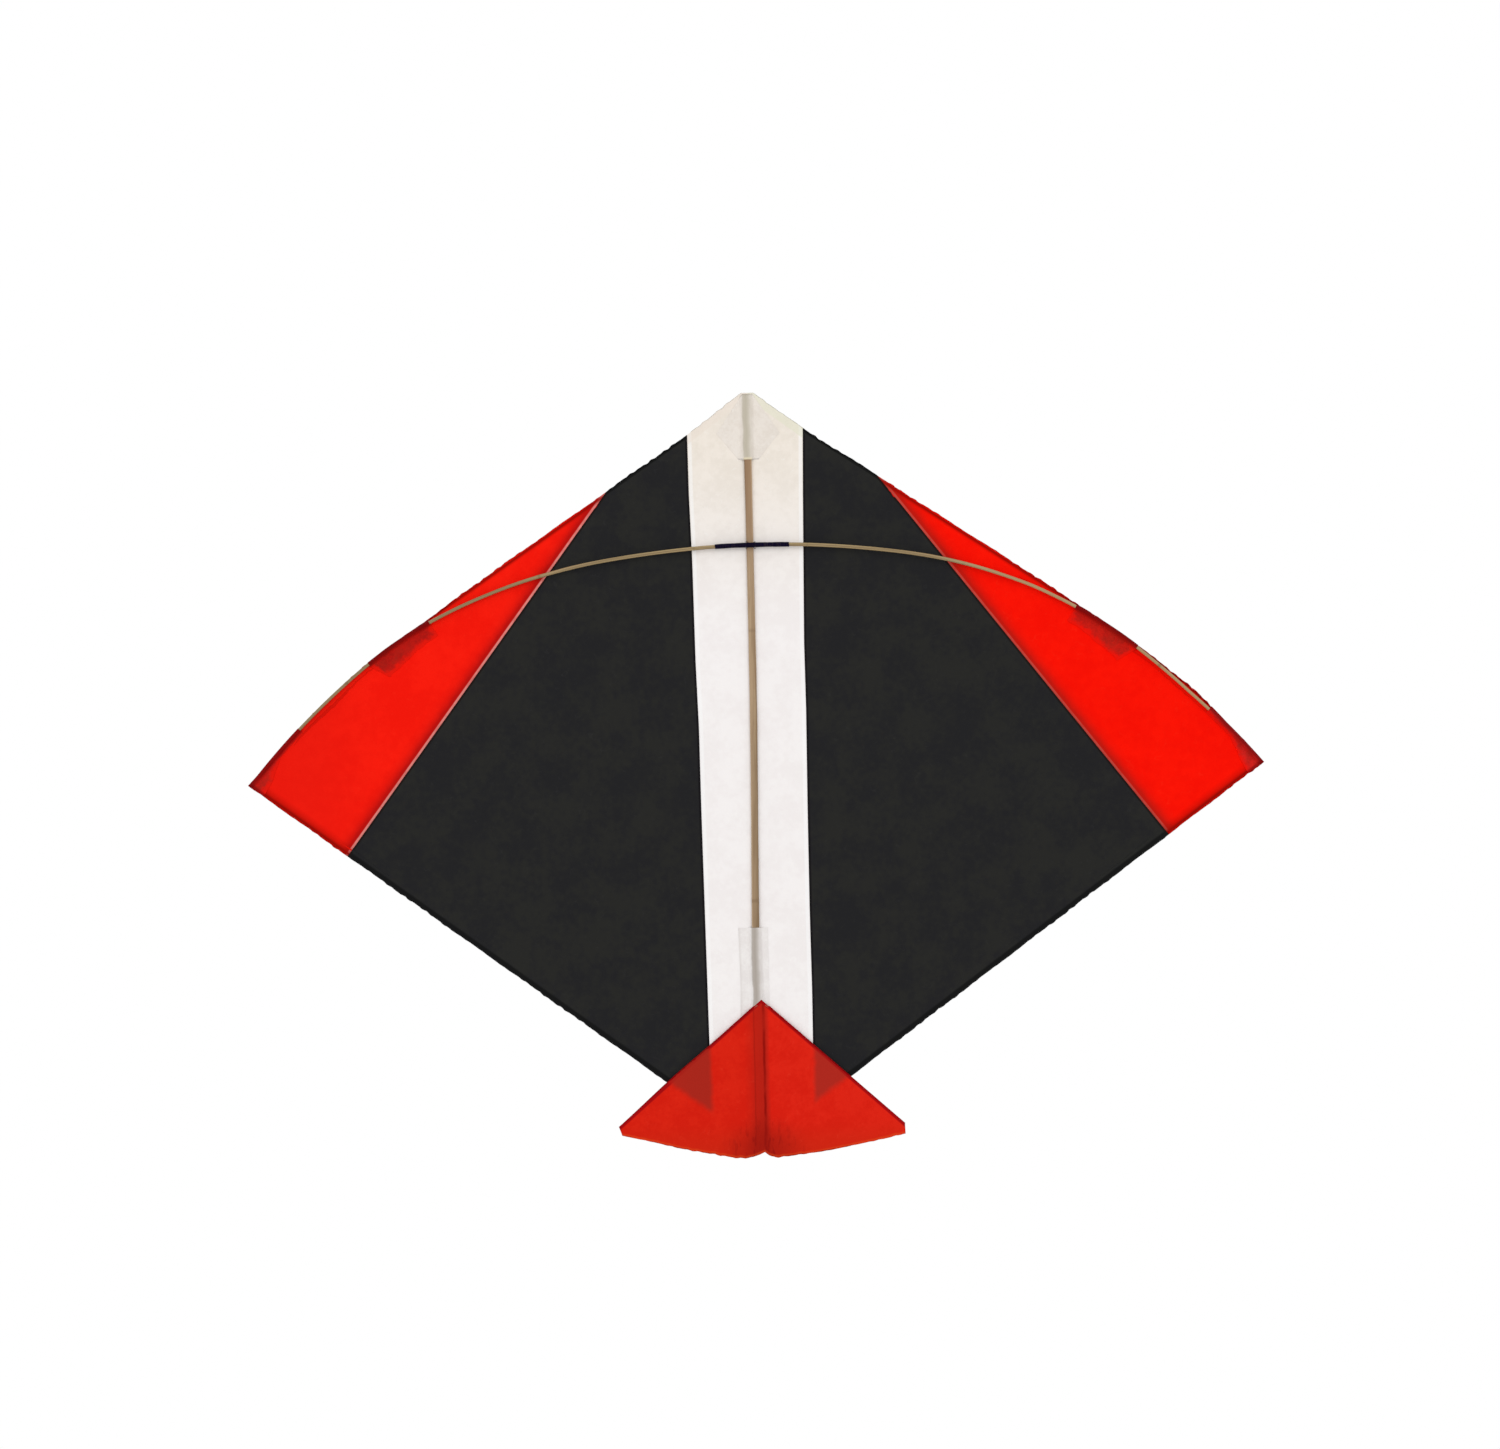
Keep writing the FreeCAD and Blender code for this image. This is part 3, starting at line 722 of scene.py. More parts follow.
def wrapped_patch(name, side, arc, headings, flap, lean=lambda t: 0.0, close_at_end=False):
    """Paper from the sail's edge, over the bow and down on to the sail inside it. flap gives how far it
    reaches in from the bow, and lean how far the flap runs back along the bow for each millimetre in,
    both at t from 0 to 1 along the bow."""
    piece = Piece(name, side, flat_rim=True)
    count = count_for(arc.radius * (headings[1] - headings[0]), 1.2)
    angles = linspace(*headings, count)
    rows, rim, outline = [], [], []
    for heading, t in zip(angles, linspace(0, 1, count)):
        x = arc.points(heading)[0]
        off = wander(BOW_WANDER, side, x)
        edge = EDGE_BEYOND_BOW + wander(EDGE_WANDER, side, x)
        stick_y, radius = bow_y(x), bow_radius(x) + 0.1
        if close_at_end:
            fade = smooth(arc.radius * (headings[1] - heading), 0.3, 4.0)
            stick_y, radius = -0.55 + (stick_y + 0.55) * fade, 0.3 + (radius - 0.3) * fade
        along = arc.radius * (heading - headings[0])
        ragged = 0.25 * sin(along / 4.1 + (0.6 if side == "left" else 2.0)) + 0.2 * sin(along / 1.7)
        foot = radius + 1.3 - off
        reach = max(flap(t) + ragged, foot + 0.3)
        # (how far out from the bow's arc, y), from the edge over the stick to the flap's end
        section = [(edge + 0.12, 0.22), (edge + 0.22, -0.25)]
        section += [(off + radius * cos(a), stick_y - radius * sin(a))
                    for a in np.radians(range(-8, 154, 13))]
        section += [(0.7 - foot, stick_y * 0.30), (-foot, -0.16)]
        section += [(-s, -0.12 - 0.04 * sin(s * 1.3 + along / 5)) for s in linspace(foot, reach, 12)[1:]]
        row = []
        for offset, y in section:
            x, drop = arc.points(heading - lean(t) * max(-offset - foot, 0.0) / arc.radius, offset)
            on_sail = offset > edge or offset <= -foot
            row.append((x, y + (sail_y(x, drop, side) if on_sail else 0.1), drop))
        rows.append(row)
        rim.append([reach + offset for offset, _ in section])
        outline.append([offset - edge for offset, _ in section])
    run = ((angles - headings[0]) * arc.radius)[:, None]
    ends = run if close_at_end else np.minimum(run, run[-1] - run)
    piece.grid(rows, rim=np.minimum(rim, ends), outline=outline, run=run / run[-1])
    return piece


def bow_patch(side):
    return wrapped_patch("bow_patch_paper_" + side, side, PATCH_ARC, np.radians(BOW_PATCH_HEADINGS),
                         lambda t: 9.4 + 5.2 * t, lambda t: 0.12 + 0.33 * t)


def tip_pocket(side):
    """A narrow fold over the bow's end that widens over the last of the tip."""
    return wrapped_patch("tip_pocket_paper_" + side, side, TIP_ARC, (math.radians(TIP_POCKET_START), TIP_HEADING),
                         lambda t: 3.0 + 7.0 * smooth(t, 0.35, 0.95) * (1 - smooth(t, 0.97, 1.0)),
                         close_at_end=True)


# The fin's folded upper edge, as (inset from the edge, how far behind the paper)
FOLD_SECTION = [(0.0, 0.0), (-0.22, 0.22), (-0.3, 0.65), (-0.15, 1.1), (0.3, 1.3), (1.4, 1.33), (3.5, 1.3), (6.5, 1.27)]


def fin_lobe(side, count):
    """The lobe's cut lower edge, from the notch to the blunt corner."""
    end = FIN_LOBE_END[side]
    lobe = np.array([(0.0, FIN_NOTCH_DROP), (end[0] * 0.35, FIN_NOTCH_DROP + 2.6), end, FIN_LOBE_MID[side],
                     FIN_BLUNT[side]])
    for _ in range(3):  # cut its corners
        a, b = lobe[:-1], lobe[1:]
        cut = stack([a * 0.8 + b * 0.2, a * 0.2 + b * 0.8], axis=1).reshape(-1, 2)
        lobe = concatenate([lobe[:1], cut, lobe[-1:]])
    lobe = resample(lobe, count)
    lobe[:, 1] += waver(lobe[:, 0], 1.0 + SIDES[side]) * smooth(lobe[:, 0], 0, 6) * smooth(-lobe[:, 0], -85, -78)
    return lobe


def fin_paper():
    """The two-lobed tail paper over the spine's end, its upper edges folded back over the splints."""
    piece = Piece("tail_fin_paper")
    across, down = 58, 44
    for side, sign in SIDES.items():
        piece.side = side
        apex, corner = (0.0, FIN_APEX_DROP), FIN_CORNER[side]
        top, lobe = linspace(apex, corner, across), fin_lobe(side, across)
        if side == "left":
            top[:, 1] -= 0.9 * sin(pi * smooth(top[:, 0], 22, 87))
        flat = coons(top, lobe, linspace(apex, lobe[0], down), linspace(corner, FIN_BLUNT[side], down))
        x, drop = flat[..., 0], flat[..., 1]
        below = drop - interp(x, [0, corner[0]], [FIN_APEX_DROP, corner[1]])
        y = FIN_Y + 0.2 * np.exp(-((x / 8) ** 2))
        y += 0.1 * sin(x / 9.0 + drop / 23.0) * smooth(x, 10, 25) * smooth(below, 3, 12)
        y -= np.abs(0.35 * smooth(drop, 425, 458) * sin(x / 13.0 + (0.5 if sign < 0 else 1.4)) * smooth(x, 6, 25))
        points = with_y(flat, y)
        piece.grid(points, edge=np.abs(distance_to_line(flat, (apex, corner))), seam=distance_to_line(flat, SEAM),
                   trail=distance_to_line(flat, trailing_line(side)), stick=sign * x - spine_x(drop),
                   free=linspace(1, 0, down)[:, None] * np.linalg.norm(lobe - top, axis=1))
        row = points[0][points[0][:, 0] > FIN_FOLD_START]
        along, drop = unit(np.array([corner[0], corner[1] - FIN_APEX_DROP]))
        grow = smooth(row[:, 0], FIN_FOLD_START, 9.0) * smooth(-row[:, 0], -corner[0], -corner[0] + 7)
        fold = []
        for inset, behind in FOLD_SECTION:
            reach = inset * (0.25 + 0.75 * grow if inset > 1 else 1 + 0 * grow)
            fold.append(row + stack([-drop * reach, behind + 0 * reach, along * reach], axis=1))
        piece.grid(fold, edge=0.6, seam=-20.0, trail=-20.0, free=40.0, stick=NO_EDGE)
    return piece

# Materials. Each is made of nodes, and is laid on by each point's place at rest, in millimetres.

def tone(r, g, b):
    """A colour as it looks on a screen, each part from 0 to 255, as linear values."""
    parts = (part / 255 for part in (r, g, b))
    return tuple(p / 12.92 if p <= 0.04045 else ((p + 0.055) / 1.055) ** 2.4 for p in parts) + (1.0,)


class Look:
    """A Principled material and short ways to add nodes to it. Its colour is built up in paper. Colours are
    screen tones (r, g, b), linear values (r, g, b, 1) or sockets."""

    def __init__(self, name, roughness, specular):
        self.material = bpy.data.materials.new(name)
        self.material.use_nodes = True
        self.nodes, self.links = self.material.node_tree.nodes, self.material.node_tree.links
        self.shader = self.nodes["Principled BSDF"]
        self.shader.inputs["Roughness"].default_value = roughness
        self.shader.inputs["Specular IOR Level"].default_value = specular
        self.rest = self.node("Attribute", attribute_name="rest").outputs["Vector"]
        self.x, _, self.z = self.node("SeparateXYZ", self.rest).outputs
        self.paper = None

    def put(self, socket, value):
        if isinstance(value, bpy.types.NodeSocket):
            self.links.new(value, socket)
        else:
            socket.default_value = value

    def node(self, kind, *inputs, **settings):
        node = self.nodes.new("ShaderNode" + kind)
        for key, value in settings.items():
            setattr(node, key, value)
        for socket, value in zip(node.inputs, inputs):
            self.put(socket, value)
        return node

    def value(self, name):
        return self.node("Attribute", attribute_name=name).outputs["Fac"]

    def math(self, operation, a, b=0.0, clamp=False):
        return self.node("Math", a, b, operation=operation, use_clamp=clamp).outputs[0]

    def add(self, a, b):
        return self.math("ADD", a, b)

    def less(self, a, b):
        return self.math("SUBTRACT", a, b)

    def times(self, product, *factors):
        for factor in factors:
            product = self.math("MULTIPLY", product, factor)
        return product

    def within(self, value, low, high, to_low=0.0, to_high=1.0):
        """A smooth step of value from low to high."""
        return self.node("MapRange", value, low, high, to_low, to_high, interpolation_type="SMOOTHSTEP").outputs[0]

    def profile(self, value, *stops):
        """A factor that follows (millimetres, factor) stops, from the first to the last."""
        low, high = stops[0][0], stops[-1][0]
        node = self.node("ValToRGB", self.math("DIVIDE", self.less(value, low), high - low, True))
        elements = node.color_ramp.elements
        for k, (place, factor) in enumerate((stops[0], stops[-1]) + stops[1:-1]):
            element = elements[k] if k < 2 else elements.new((place - low) / (high - low))
            element.color = (factor, factor, factor, 1)
        return node.outputs[0]

    def noise(self, size, detail=2.0, rough=0.55, seed=0.0, place=None, stretch=(1.0, 1.0, 1.0)):
        """Noise from 0 to 1 with features about size millimetres across."""
        place = self.rest if place is None else place
        scale, start = [1 / (size * s) for s in stretch], (seed * 3.7, seed * 1.9, seed * 5.3)
        moved = self.node("VectorMath", place, scale, start, operation="MULTIPLY_ADD").outputs[0]
        noise = self.node("TexNoise", moved)
        for key, value in (("Scale", 1.0), ("Detail", detail), ("Roughness", rough)):
            noise.inputs[key].default_value = value
        return noise.outputs["Fac"]

    def uneven(self, size, reach, seed):
        """Noise from -reach / 2 to reach / 2."""
        return self.times(self.less(self.noise(size, seed=seed), 0.5), reach)

    def mix(self, factor, a, b):
        node = self.node("Mix", data_type="RGBA")
        self.put(node.inputs[0], factor)
        for socket, colour in zip((node.inputs[6], node.inputs[7]), (a, b)):
            is_tone = isinstance(colour, tuple) and len(colour) == 3
            self.put(socket, tone(*colour) if is_tone else colour)
        return node.outputs[2]

    def sided(self, left, right):
        """One colour on the kite's left half and another on its right."""
        return self.mix(self.within(self.x, -1.0, 1.0), left, right)

    def lower_or_upper(self, lower, upper):
        """One colour below the crossing and another above it."""
        return self.mix(self.within(self.z, -60.0, 75.0), lower, upper)

    def over(self, colour, *factors):
        """Lay a colour over the paper, as strong as the product of the factors."""
        self.paper = self.mix(self.times(*factors), self.paper, colour)

    def bump(self, height, depth):
        """height in 0 to 1 stands for depth millimetres."""
        node = self.node("Bump")
        node.inputs["Strength"].default_value = 1.0
        node.inputs["Distance"].default_value = depth * MM
        self.put(node.inputs["Height"], height)
        self.put(self.shader.inputs["Normal"], node.outputs["Normal"])

    def done(self):
        self.put(self.shader.inputs["Base Color"], self.paper)
        return self.material

    def fibres(self, seed, size):
        """Hair-thin curved lines, broken up, as the long fibres in handmade paper."""
        away = self.math("ABSOLUTE", self.less(self.noise(size, 1.0, 0.4, seed), 0.5))
        thin = self.within(away, 0.0, 0.012, 1.0, 0.0)
        return self.times(thin, self.within(self.noise(size * 0.7, 1.0, seed=seed + 4), 0.5, 0.62))

    def handmade(self, seed, depth, size, light, dark):
        """Handmade paper: a fine relief, and two close shades in soft clouds with finer clouds inside them.
        Returns where its fibres are."""
        fibre = self.add(self.fibres(seed + 2, 7.0), self.fibres(seed + 9, 4.3))
        fine, soft = self.noise(0.45, 3.0, 0.6, seed), self.noise(2.6, 2.0, 0.5, seed + 1)
        height = self.add(self.times(fine, 0.45), self.times(soft, 0.35))
        self.bump(self.add(height, self.times(fibre, 0.25)), depth)
        clouds = self.add(self.times(self.noise(size, 2.0, 0.5, seed + 1), 0.6),
                          self.times(self.noise(size / 6, 2.0, 0.5, seed + 4), 0.4))
        self.paper = self.mix(self.within(clouds, 0.38, 0.62), dark, light)
        return fibre


def white_look():
    look = Look("white_paper", 0.78, 0.2)
    fibre = look.handmade(1.0, 0.05, 20.0, look.lower_or_upper((247, 243, 242), (241, 232, 221)),
                          look.lower_or_upper((243, 238, 237), (234, 225, 213)))
    look.over((251, 250, 247), fibre, 0.3)
    look.over((252, 252, 252), look.profile(look.value("seam"), (0.1, 0), (0.8, 0.5), (2.2, 0.5), (2.8, 0)))
    hem = look.math("MINIMUM", look.value("edge"), look.value("trail"))
    look.over(look.sided((236, 224, 212), (226, 226, 202)), look.within(hem, 5.2, 4.2), 0.55)
    return look.done()


def black_look():
    look = Look("black_paper", 0.82, 0.12)
    fibre = look.handmade(11.0, 0.04, 24.0, (36, 36, 34), (30, 30, 32))
    look.over((46, 46, 46), fibre, 0.3)
    look.over((10, 10, 10), look.within(look.value("edge"), 2.0, 1.1), 0.8)
    look.over((9, 9, 10), look.profile(look.value("trail"), (0.2, 0.3), (0.9, 1), (2.5, 1), (3.6, 0)), 0.85)
    look.over((14, 11, 15), look.within(look.value("seam"), 1.7, 1.0), 0.85)
    look.over((24, 11, 8), look.profile(look.value("lap"), (-1, 1), (0.8, 1), (1.6, 0)), 0.9)
    return look.done()


def red_look():
    look = Look("red_paper", 0.8, 0.03)
    fibre = look.handmade(21.0, 0.04, 30.0, look.sided((251, 27, 11), (254, 18, 2)),
                          look.sided((244, 22, 8), (248, 14, 1)))
    look.over((252, 46, 24), fibre, 0.25)
    look.over((228, 26, 14), look.within(look.x, -215.0, -275.0), 0.5)
    seam = look.value("seam")
    lapped = look.profile(look.add(seam, look.uneven(5.0, 1.8, 23)),
                          (1.2, 1), (2.7, 0.97), (3.8, 0.68), (5.5, 0.38), (7.4, 0.15), (11, 0))
    look.over(look.sided((184, 16, 12), (190, 24, 14)), lapped)
    pale = look.within(look.noise(4.0, seed=27), 0.3, 0.6, 0.7, 1.0)
    look.over(look.sided((226, 134, 126), (194, 70, 60)), look.within(seam, 1.6, 1.0), pale)
    look.over((148, 8, 2), look.profile(look.value("edge"), (0, 0.25), (0.5, 0.5), (1.0, 1), (1.6, 1), (2.5, 0.4),
                                        (3.2, 0.05), (4.2, 0)), 0.92)
    look.over((150, 9, 2), look.profile(look.value("trail"), (0, 0.35), (0.6, 0.7), (1.1, 1), (1.7, 1), (2.6, 0.65),
                                        (3.3, 0.44), (5, 0.2), (7, 0)))
    return look.done()


def patch_look(name, light, dark, shaded, band, at_end=0.0):
    """Red paper glued over the bow, darkest along the outline, for band millimetres. light and dark are for
    the left and the right of the kite."""
    look = Look(name, 0.75, 0.06)
    fibre = look.handmade(31.0, 0.05, 7.0, look.sided(*light), look.sided(*dark))
    look.over((214, 44, 32), fibre, 0.25)
    clouds = look.within(look.noise(5.0, seed=36), 0.4, 0.65)
    run, outline = look.value("run"), look.value("outline")
    look.over((150, 34, 22), look.within(run, 0.15, 0.8), clouds, 0.4)
    look.over(shaded, look.profile(outline, (-2.3 * band, 0), (-1.6 * band, 0.3), (-band, 0.9), (0.5, 1)), 0.9)
    rim = look.add(look.value("rim"), look.uneven(3.4, 6.0, 37))
    look.over(look.sided((232, 20, 4), (240, 14, 0)), look.within(rim, 3.8, 0.4),
              look.within(outline, -1.5 * band, -2.3 * band), 0.9)
    look.over(shaded, look.within(run, 0.925, 0.97), at_end)
    return look.done()


def fin_look():
    look = Look("fin_paper", 0.8, 0.05)
    fibre = look.handmade(41.0, 0.04, 14.0, look.sided((219, 34, 15), (223, 35, 18)),
                          look.sided((212, 28, 11), (216, 29, 13)))
    look.over((204, 36, 14), look.within(look.z, -342.0, -364.0), 0.8)
    look.over((230, 62, 40), fibre, 0.25)
    # the sail behind it
    soft, seam = look.uneven(8.0, 3.0, 47), look.value("seam")
    backed = look.times(look.within(look.add(seam, soft), -1.8, 1.8),
                        look.within(look.add(look.value("trail"), soft), -1.4, 3.4))
    look.over(look.sided((168, 38, 26), (173, 40, 29)), backed, look.within(seam, 8.0, 44.0, 0.97, 0.72))
    # the stick behind it, with painted shade in the crease along each side
    stick = look.add(look.value("stick"), look.times(soft, 0.3))
    shade = look.mix(look.within(look.z, -335.0, -355.0), (168, 30, 18), (150, 24, 13))
    look.over(shade, look.profile(stick, (-9.5, 0), (-5.5, 0.25), (-2.4, 0.6), (1.6, 0.7), (3.6, 0.8), (4.8, 0.5),
                                  (6.4, 0)))
    # painted shade in the crease beside the stick's right side
    look.over((140, 8, 3), look.profile(stick, (1.9, 0), (2.6, 0.9), (3.2, 0.9), (4.0, 0)),
              look.within(look.noise(11.0, 1.0, seed=53), 0.3, 0.6, 0.35, 0.95))
    # painted shade in the crease beside the stick's left side
    look.over((146, 18, 8), look.profile(stick, (-3.6, 0), (-2.9, 0.5), (-2.3, 0)))
    # painted shade in the crumpled paper round the spine's end
    down = look.math("DIVIDE", look.add(look.z, 363.5), 13.0)
    place = look.node("CombineXYZ", look.math("DIVIDE", look.x, 16.0), 0.0, down).outputs[0]
    near = look.within(look.node("VectorMath", place, operation="LENGTH").outputs["Value"], 1.9, 0.3)
    # painted shade, darker near the spine's end
    look.over((158, 22, 11), near, 0.7)
    # painted shade in the folds of the crumpled paper
    fold_shade_noise = look.noise(4.0, seed=59, stretch=(0.5, 1.0, 1.8))
    look.over((138, 12, 8), look.within(fold_shade_noise, 0.52, 0.68), near, 0.6)
    # the folded edge, and the cut one
    faint = look.less(1.0, look.times(backed, look.within(look.x, -1.0, 1.0, 0.7, 0.2)))
    look.over((158, 4, 12), look.within(look.value("edge"), 2.1, 1.1), faint, 0.92)
    cut = look.add(look.value("free"), look.uneven(4.0, 1.0, 57))
    look.over((222, 70, 26), look.within(cut, 2.0, 0.9), 0.55)
    look.over((150, 22, 8), look.within(cut, 0.8, 0.2), look.within(look.noise(9.0, 1.0, seed=58), 0.4, 0.6), 0.8)
    return look.done()


def thin_white_look(name, seed, ghost, left_edge_shade=0.0, cream_from=None):
    """White paper glued over the spine, through which the stick shows."""
    look = Look(name, 0.78, 0.2)
    fibre = look.handmade(seed, 0.05, 9.0, look.lower_or_upper((240, 236, 234), (235, 227, 218)),
                          look.lower_or_upper((233, 228, 226), (228, 219, 209)))
    look.over((248, 246, 240), fibre, 0.3)
    # painted shade along the patch's lower end
    look.over((212, 206, 200), look.within(look.value("end"), 1.4, 0.4), 0.5)
    # painted shade along the patch's left edge
    look.over((214, 208, 204), look.profile(look.value("left"), (0, 1), (0.7, 0.8), (1.6, 0)), left_edge_shade)
    stick = look.value("stick")
    look.over(ghost, look.profile(look.add(stick, look.uneven(9.0, 1.6, seed + 5)),
                                  (-3.2, 0), (-2.2, 0.9), (-0.6, 1), (1.0, 0.75), (2.4, 0.3), (4.2, 0)))
    if cream_from:
        cream = look.within(look.math("ABSOLUTE", stick), 3.0, 2.2)
        look.over((236, 222, 190), cream, look.within(look.z, cream_from, cream_from - 1.6), 0.9)
    return look.done()


def bamboo_look(name, light, middle, dark, seed, spine=False):
    look = Look(name, 0.5, 0.3)
    along, ca, sa = look.value("along"), look.value("ca"), look.value("sa")
    place = look.node("CombineXYZ", along, ca, sa).outputs[0]
    grain = look.noise(1.0, 4.0, 0.65, seed, place, (38.0, 0.22, 0.22))
    streak = look.noise(1.0, 2.0, 0.5, seed + 2, place, (70.0, 0.7, 0.7))
    pores = look.noise(1.0, 1.0, 0.5, seed + 4, place, (5.0, 0.09, 0.09))
    look.paper = look.mix(look.within(grain, 0.36, 0.66), middle, light)
    look.over(dark, look.within(streak, 0.45, 0.72), 0.7)
    look.over(dark, look.within(pores, 0.66, 0.74), 0.35)
    if spine:
        top, low = look.within(look.z, -40.0, 48.0), look.within(look.z, -60.0, -140.0)
        look.over(look.mix(0.5, dark, (167, 129, 97)), top, 0.75)
        look.over((128, 98, 68), look.within(ca, 0.1, -0.7), top, 0.6)
        look.over((200, 172, 138), look.within(ca, 0.0, 0.8), top, 0.6)
        look.over((190, 166, 138), look.within(ca, -0.1, -0.9), look.less(1.0, top), 0.6)
        look.over((126, 102, 72), look.within(ca, -0.5, 0.6), low, 0.85)
    else:
        # painted shade: the bow darker round its sides and back, away from its front
        look.over(dark, look.within(sa, 0.62, 0.25), 0.75)
        look.over((124, 92, 58), look.within(look.x, -112.0, -140.0), 0.4)
        look.over((190, 148, 102), look.within(look.x, 120.0, 160.0), 0.45)
    look.over(dark, look.within(look.value("knot"), 0.2, 0.95), 0.55)
    look.bump(look.add(grain, look.times(pores, -0.4)), 0.07)
    return look.done()


def thread_look(name, light, dark, seed, pitch):
    look = Look(name, 0.6, 0.12)
    angle = look.math("ARCTAN2", look.value("sa"), look.value("ca"))
    turn = look.add(look.times(angle, 2.0), look.times(look.value("along"), 2 * pi / pitch))
    twist = look.math("SINE", turn)
    # random mottling of the thread, plus painted shade that rises and falls with the strands' twist
    mottle_and_twist_shade = look.add(look.noise(0.6, seed=seed), look.times(twist, 0.12))
    look.paper = look.mix(look.within(mottle_and_twist_shade, 0.35, 0.75), dark, light)
    look.bump(twist, 0.05)
    return look.done()


def floor_look():
    look = Look("studio_floor", 0.85, 0.2)
    place = look.nodes.new("ShaderNodeTexCoord").outputs["Object"]
    clouds = look.noise(0.35, 3.0, 0.5, 3.0, place)
    look.paper = look.mix(look.within(clouds, 0.35, 0.65), (0.74, 0.735, 0.725, 1), (0.79, 0.785, 0.775, 1))
    return look.done()


# The scene

def studio():
    """A white world that lights the kite less than it shows, three lamps and a floor."""
    world = bpy.data.worlds.new("studio")
    bpy.context.scene.world = world
    world.use_nodes = True
    nodes, links = world.node_tree.nodes, world.node_tree.links
    nodes.clear()
    out, mixed = nodes.new("ShaderNodeOutputWorld"), nodes.new("ShaderNodeMixShader")
    links.new(nodes.new("ShaderNodeLightPath").outputs["Is Camera Ray"], mixed.inputs[0])
    for socket, strength in zip(mixed.inputs[1:], (WORLD_LIGHT, 1.0)):
        background = nodes.new("ShaderNodeBackground")
        background.inputs["Color"].default_value = (1, 1, 1, 1)
        background.inputs["Strength"].default_value = strength
        links.new(background.outputs[0], socket)
    links.new(mixed.outputs[0], out.inputs["Surface"])

    for name, place, size, power in LIGHTS:
        data = bpy.data.lights.new(name, "AREA")
        data.shape, data.size, data.energy = "DISK", size, power
        lamp = link(name, data)
        lamp.location = place
        lamp.rotation_euler = (Vector(LIGHTS_AIM) - Vector(place)).to_track_quat("-Z", "Y").to_euler()

    bpy.ops.mesh.primitive_circle_add(vertices=96, radius=FLOOR_RADIUS, fill_type="NGON", location=(0, 0, FLOOR_Z))
    floor = bpy.context.object
    floor.name = "studio_floor"
    floor.data.materials.append(floor_look())


def camera():
    data = bpy.data.cameras.new("camera")
    data.sensor_width = SENSOR_MM
    data.lens = SENSOR_MM * CAMERA_DISTANCE / (VIEW_SPAN * MM)
    data.clip_start, data.clip_end = 0.05, 50
    cam = link("camera", data)
    cam.location = (VIEW_CENTRE[0] * MM, -CAMERA_DISTANCE, (CROSSING_DROP - VIEW_CENTRE[1]) * MM)
    cam.rotation_euler = (math.radians(90), math.radians(VIEW_ROLL), 0)
    bpy.context.scene.camera = cam


def polygon_area(*corners):
    """Area inside a polygon of (x, drop) corners, in square metres."""
    x, y = np.array(corners, float).T
    return abs(np.dot(x, np.roll(y, 1)) - np.dot(y, np.roll(x, 1))) / 2 * MM * MM


def hem_area(length, width=5.0):
    """Area of a lap or a hem, in square metres."""
    return length * width * MM * MM


def place(piece, material, slot, node, bend=None, body="centre", flat=None, thickness=PAPER, **sheet):
    """Put a piece on its body, or with bend given leave it on no body, with its place baked into its mesh.
    Say which node it replaces. For paper, sheet says what sheet it is, and is not used."""
    obj = piece.make(material, slot, thickness if flat else 0.0)
    if bend:
        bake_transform(obj)
    else:
        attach(obj, body)
    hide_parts(node)


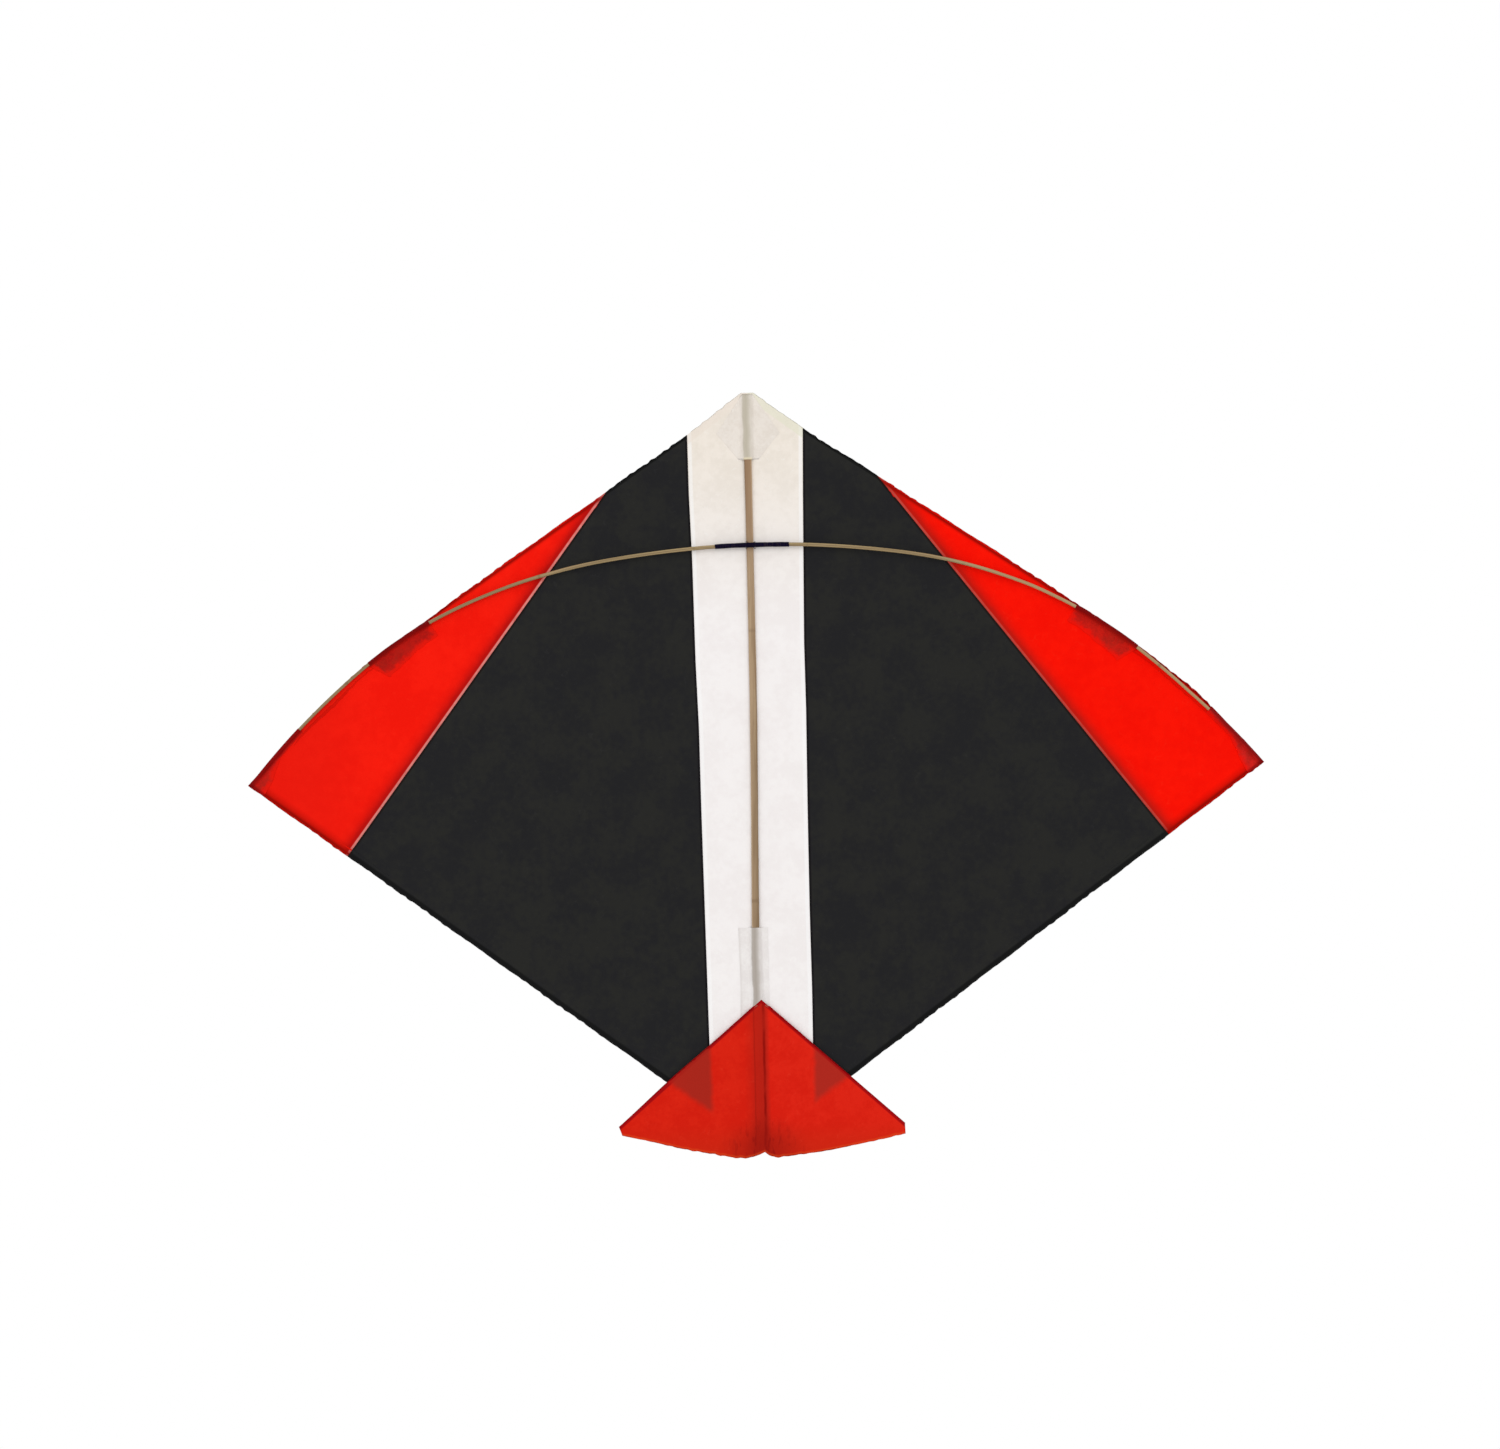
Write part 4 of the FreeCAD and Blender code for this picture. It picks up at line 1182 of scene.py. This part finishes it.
def build():
    bpy.context.scene.view_settings.view_transform = "Standard"
    bpy.context.scene.view_settings.look = "None"
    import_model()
    camera()
    studio()
    white, black, red, fin = white_look(), black_look(), red_look(), fin_look()
    patch = patch_look("red_patch_paper", ((190, 22, 14), (206, 26, 15)), ((170, 20, 14), (184, 22, 14)),
                       (104, 0, 2), 1.5)
    pocket = patch_look("red_pocket_paper", ((212, 30, 22), (214, 32, 26)), ((194, 24, 18), (194, 28, 24)),
                        (120, 2, 4), 1.6, 0.75)
    nose = thin_white_look("nose_paper", 51.0, (191, 183, 166), cream_from=CROSSING_DROP - 38.0)
    lower = thin_white_look("lower_paper", 61.0, (172, 163, 154), 0.4)
    spine_wood = bamboo_look("spine_bamboo", (179, 153, 121), (159, 132, 102), (124, 98, 70), 71.0, True)
    bow_wood = bamboo_look("bow_bamboo", (176, 154, 112), (156, 134, 96), (108, 84, 55), 81.0)
    dark_thread = thread_look("binding_thread", (16, 0, 54), (5, 0, 24), 91.0, 0.9)
    pale_thread = thread_look("hem_thread", (214, 206, 190), (176, 166, 148), 95.0, 1.1)

    for side in SIDES:
        wing, limb = side + "_wing", "bow_limb_" + side
        black_node, tip_node = "black_panel_" + side, "tip_panel_" + side
        trailing = trailing_line(side)
        seam_low = meet(*SEAM, *trailing)
        red_top, red_low = meet(*TIP_SEAM[side], *LEADING_LINE), meet(*TIP_SEAM[side], *trailing)

        place(centre_half(side), white, "white_paper", "centre_panel", side,
              flat=(0.0405, 0.462), held="stretched", rests_on=["spine", "bow_centre"],
              area=polygon_area((0, 0), SEAM[0], seam_low, (0, TAIL_DROP)) + hem_area(410, WHITE_LAP) + hem_area(75))
        place(black_panel(side), black, "black_paper", black_node, side,
              flat=(0.236, 0.411), held="stretched", rests_on=[limb, "centre_panel"],
              area=polygon_area(SEAM[0], red_top, red_low, seam_low) + hem_area(256) + hem_area(330))
        place(tip_panel(side), red, "red_paper", tip_node, body=wing,
              flat=(0.082, 0.268), held="stretched", rests_on=[limb, black_node],
              area=polygon_area(red_top, *LEADING_CURVE, red_low) + hem_area(340))
        place(bow_part("bow_limb_strip_" + side, side, False, (128.0, 262.0)), bow_wood, "bow_bamboo", limb, side)
        place(bow_part("bow_centre_strip_" + side, side, True), bow_wood, "bow_bamboo", "bow_centre", side)
        place(bow_patch(side), patch, "red_patch_paper", "bow_patch_" + side, body=wing,
              flat=(0.038, 0.024), held="folded", rests_on=[limb, tip_node])
        place(tip_pocket(side), pocket, "red_patch_paper", "tip_pocket_" + side, body=wing,
              flat=(0.046, 0.012), held="folded", rests_on=[limb, tip_node])
        place(hem_threads("hem_line_" + side, side, False), pale_thread, "hem_thread", "hem_thread_" + side, side)
        place(hem_threads("hem_line_centre_" + side, side, True), pale_thread, "hem_thread", "hem_thread_centre", side)
        place(splint_part(side), spine_wood, "bow_bamboo", "fin_splint_" + side)

    place(spine_part(), spine_wood, "spine_bamboo", "spine")
    place(binding_part(), dark_thread, "binding_thread", "bow_binding")
    place(lashing_part(), dark_thread, "binding_thread", "cross_lashing")
    outline = [(2.8, 4.5), (19, 24), (6, 40)]
    place(nose_patch(), nose, "white_paper", "nose_patch", thickness=PAPER / 2,
          flat=(0.040, 0.036), held="folded", rests_on=["spine", "centre_panel"],
          area=polygon_area(*outline, *((-x, drop) for x, drop in outline[::-1])))
    place(lower_patch(), lower, "white_paper", "lower_spine_patch", thickness=PAPER / 2,
          flat=(0.020, 0.0715), held="folded", rests_on=["spine", "centre_panel"])
    place(fin_paper(), fin, "fin_paper", "tail_fin", flat=(0.184, 0.100), held="stretched",
          rests_on=["spine", "fin_splint_left", "fin_splint_right"], area=0.0108)


build()
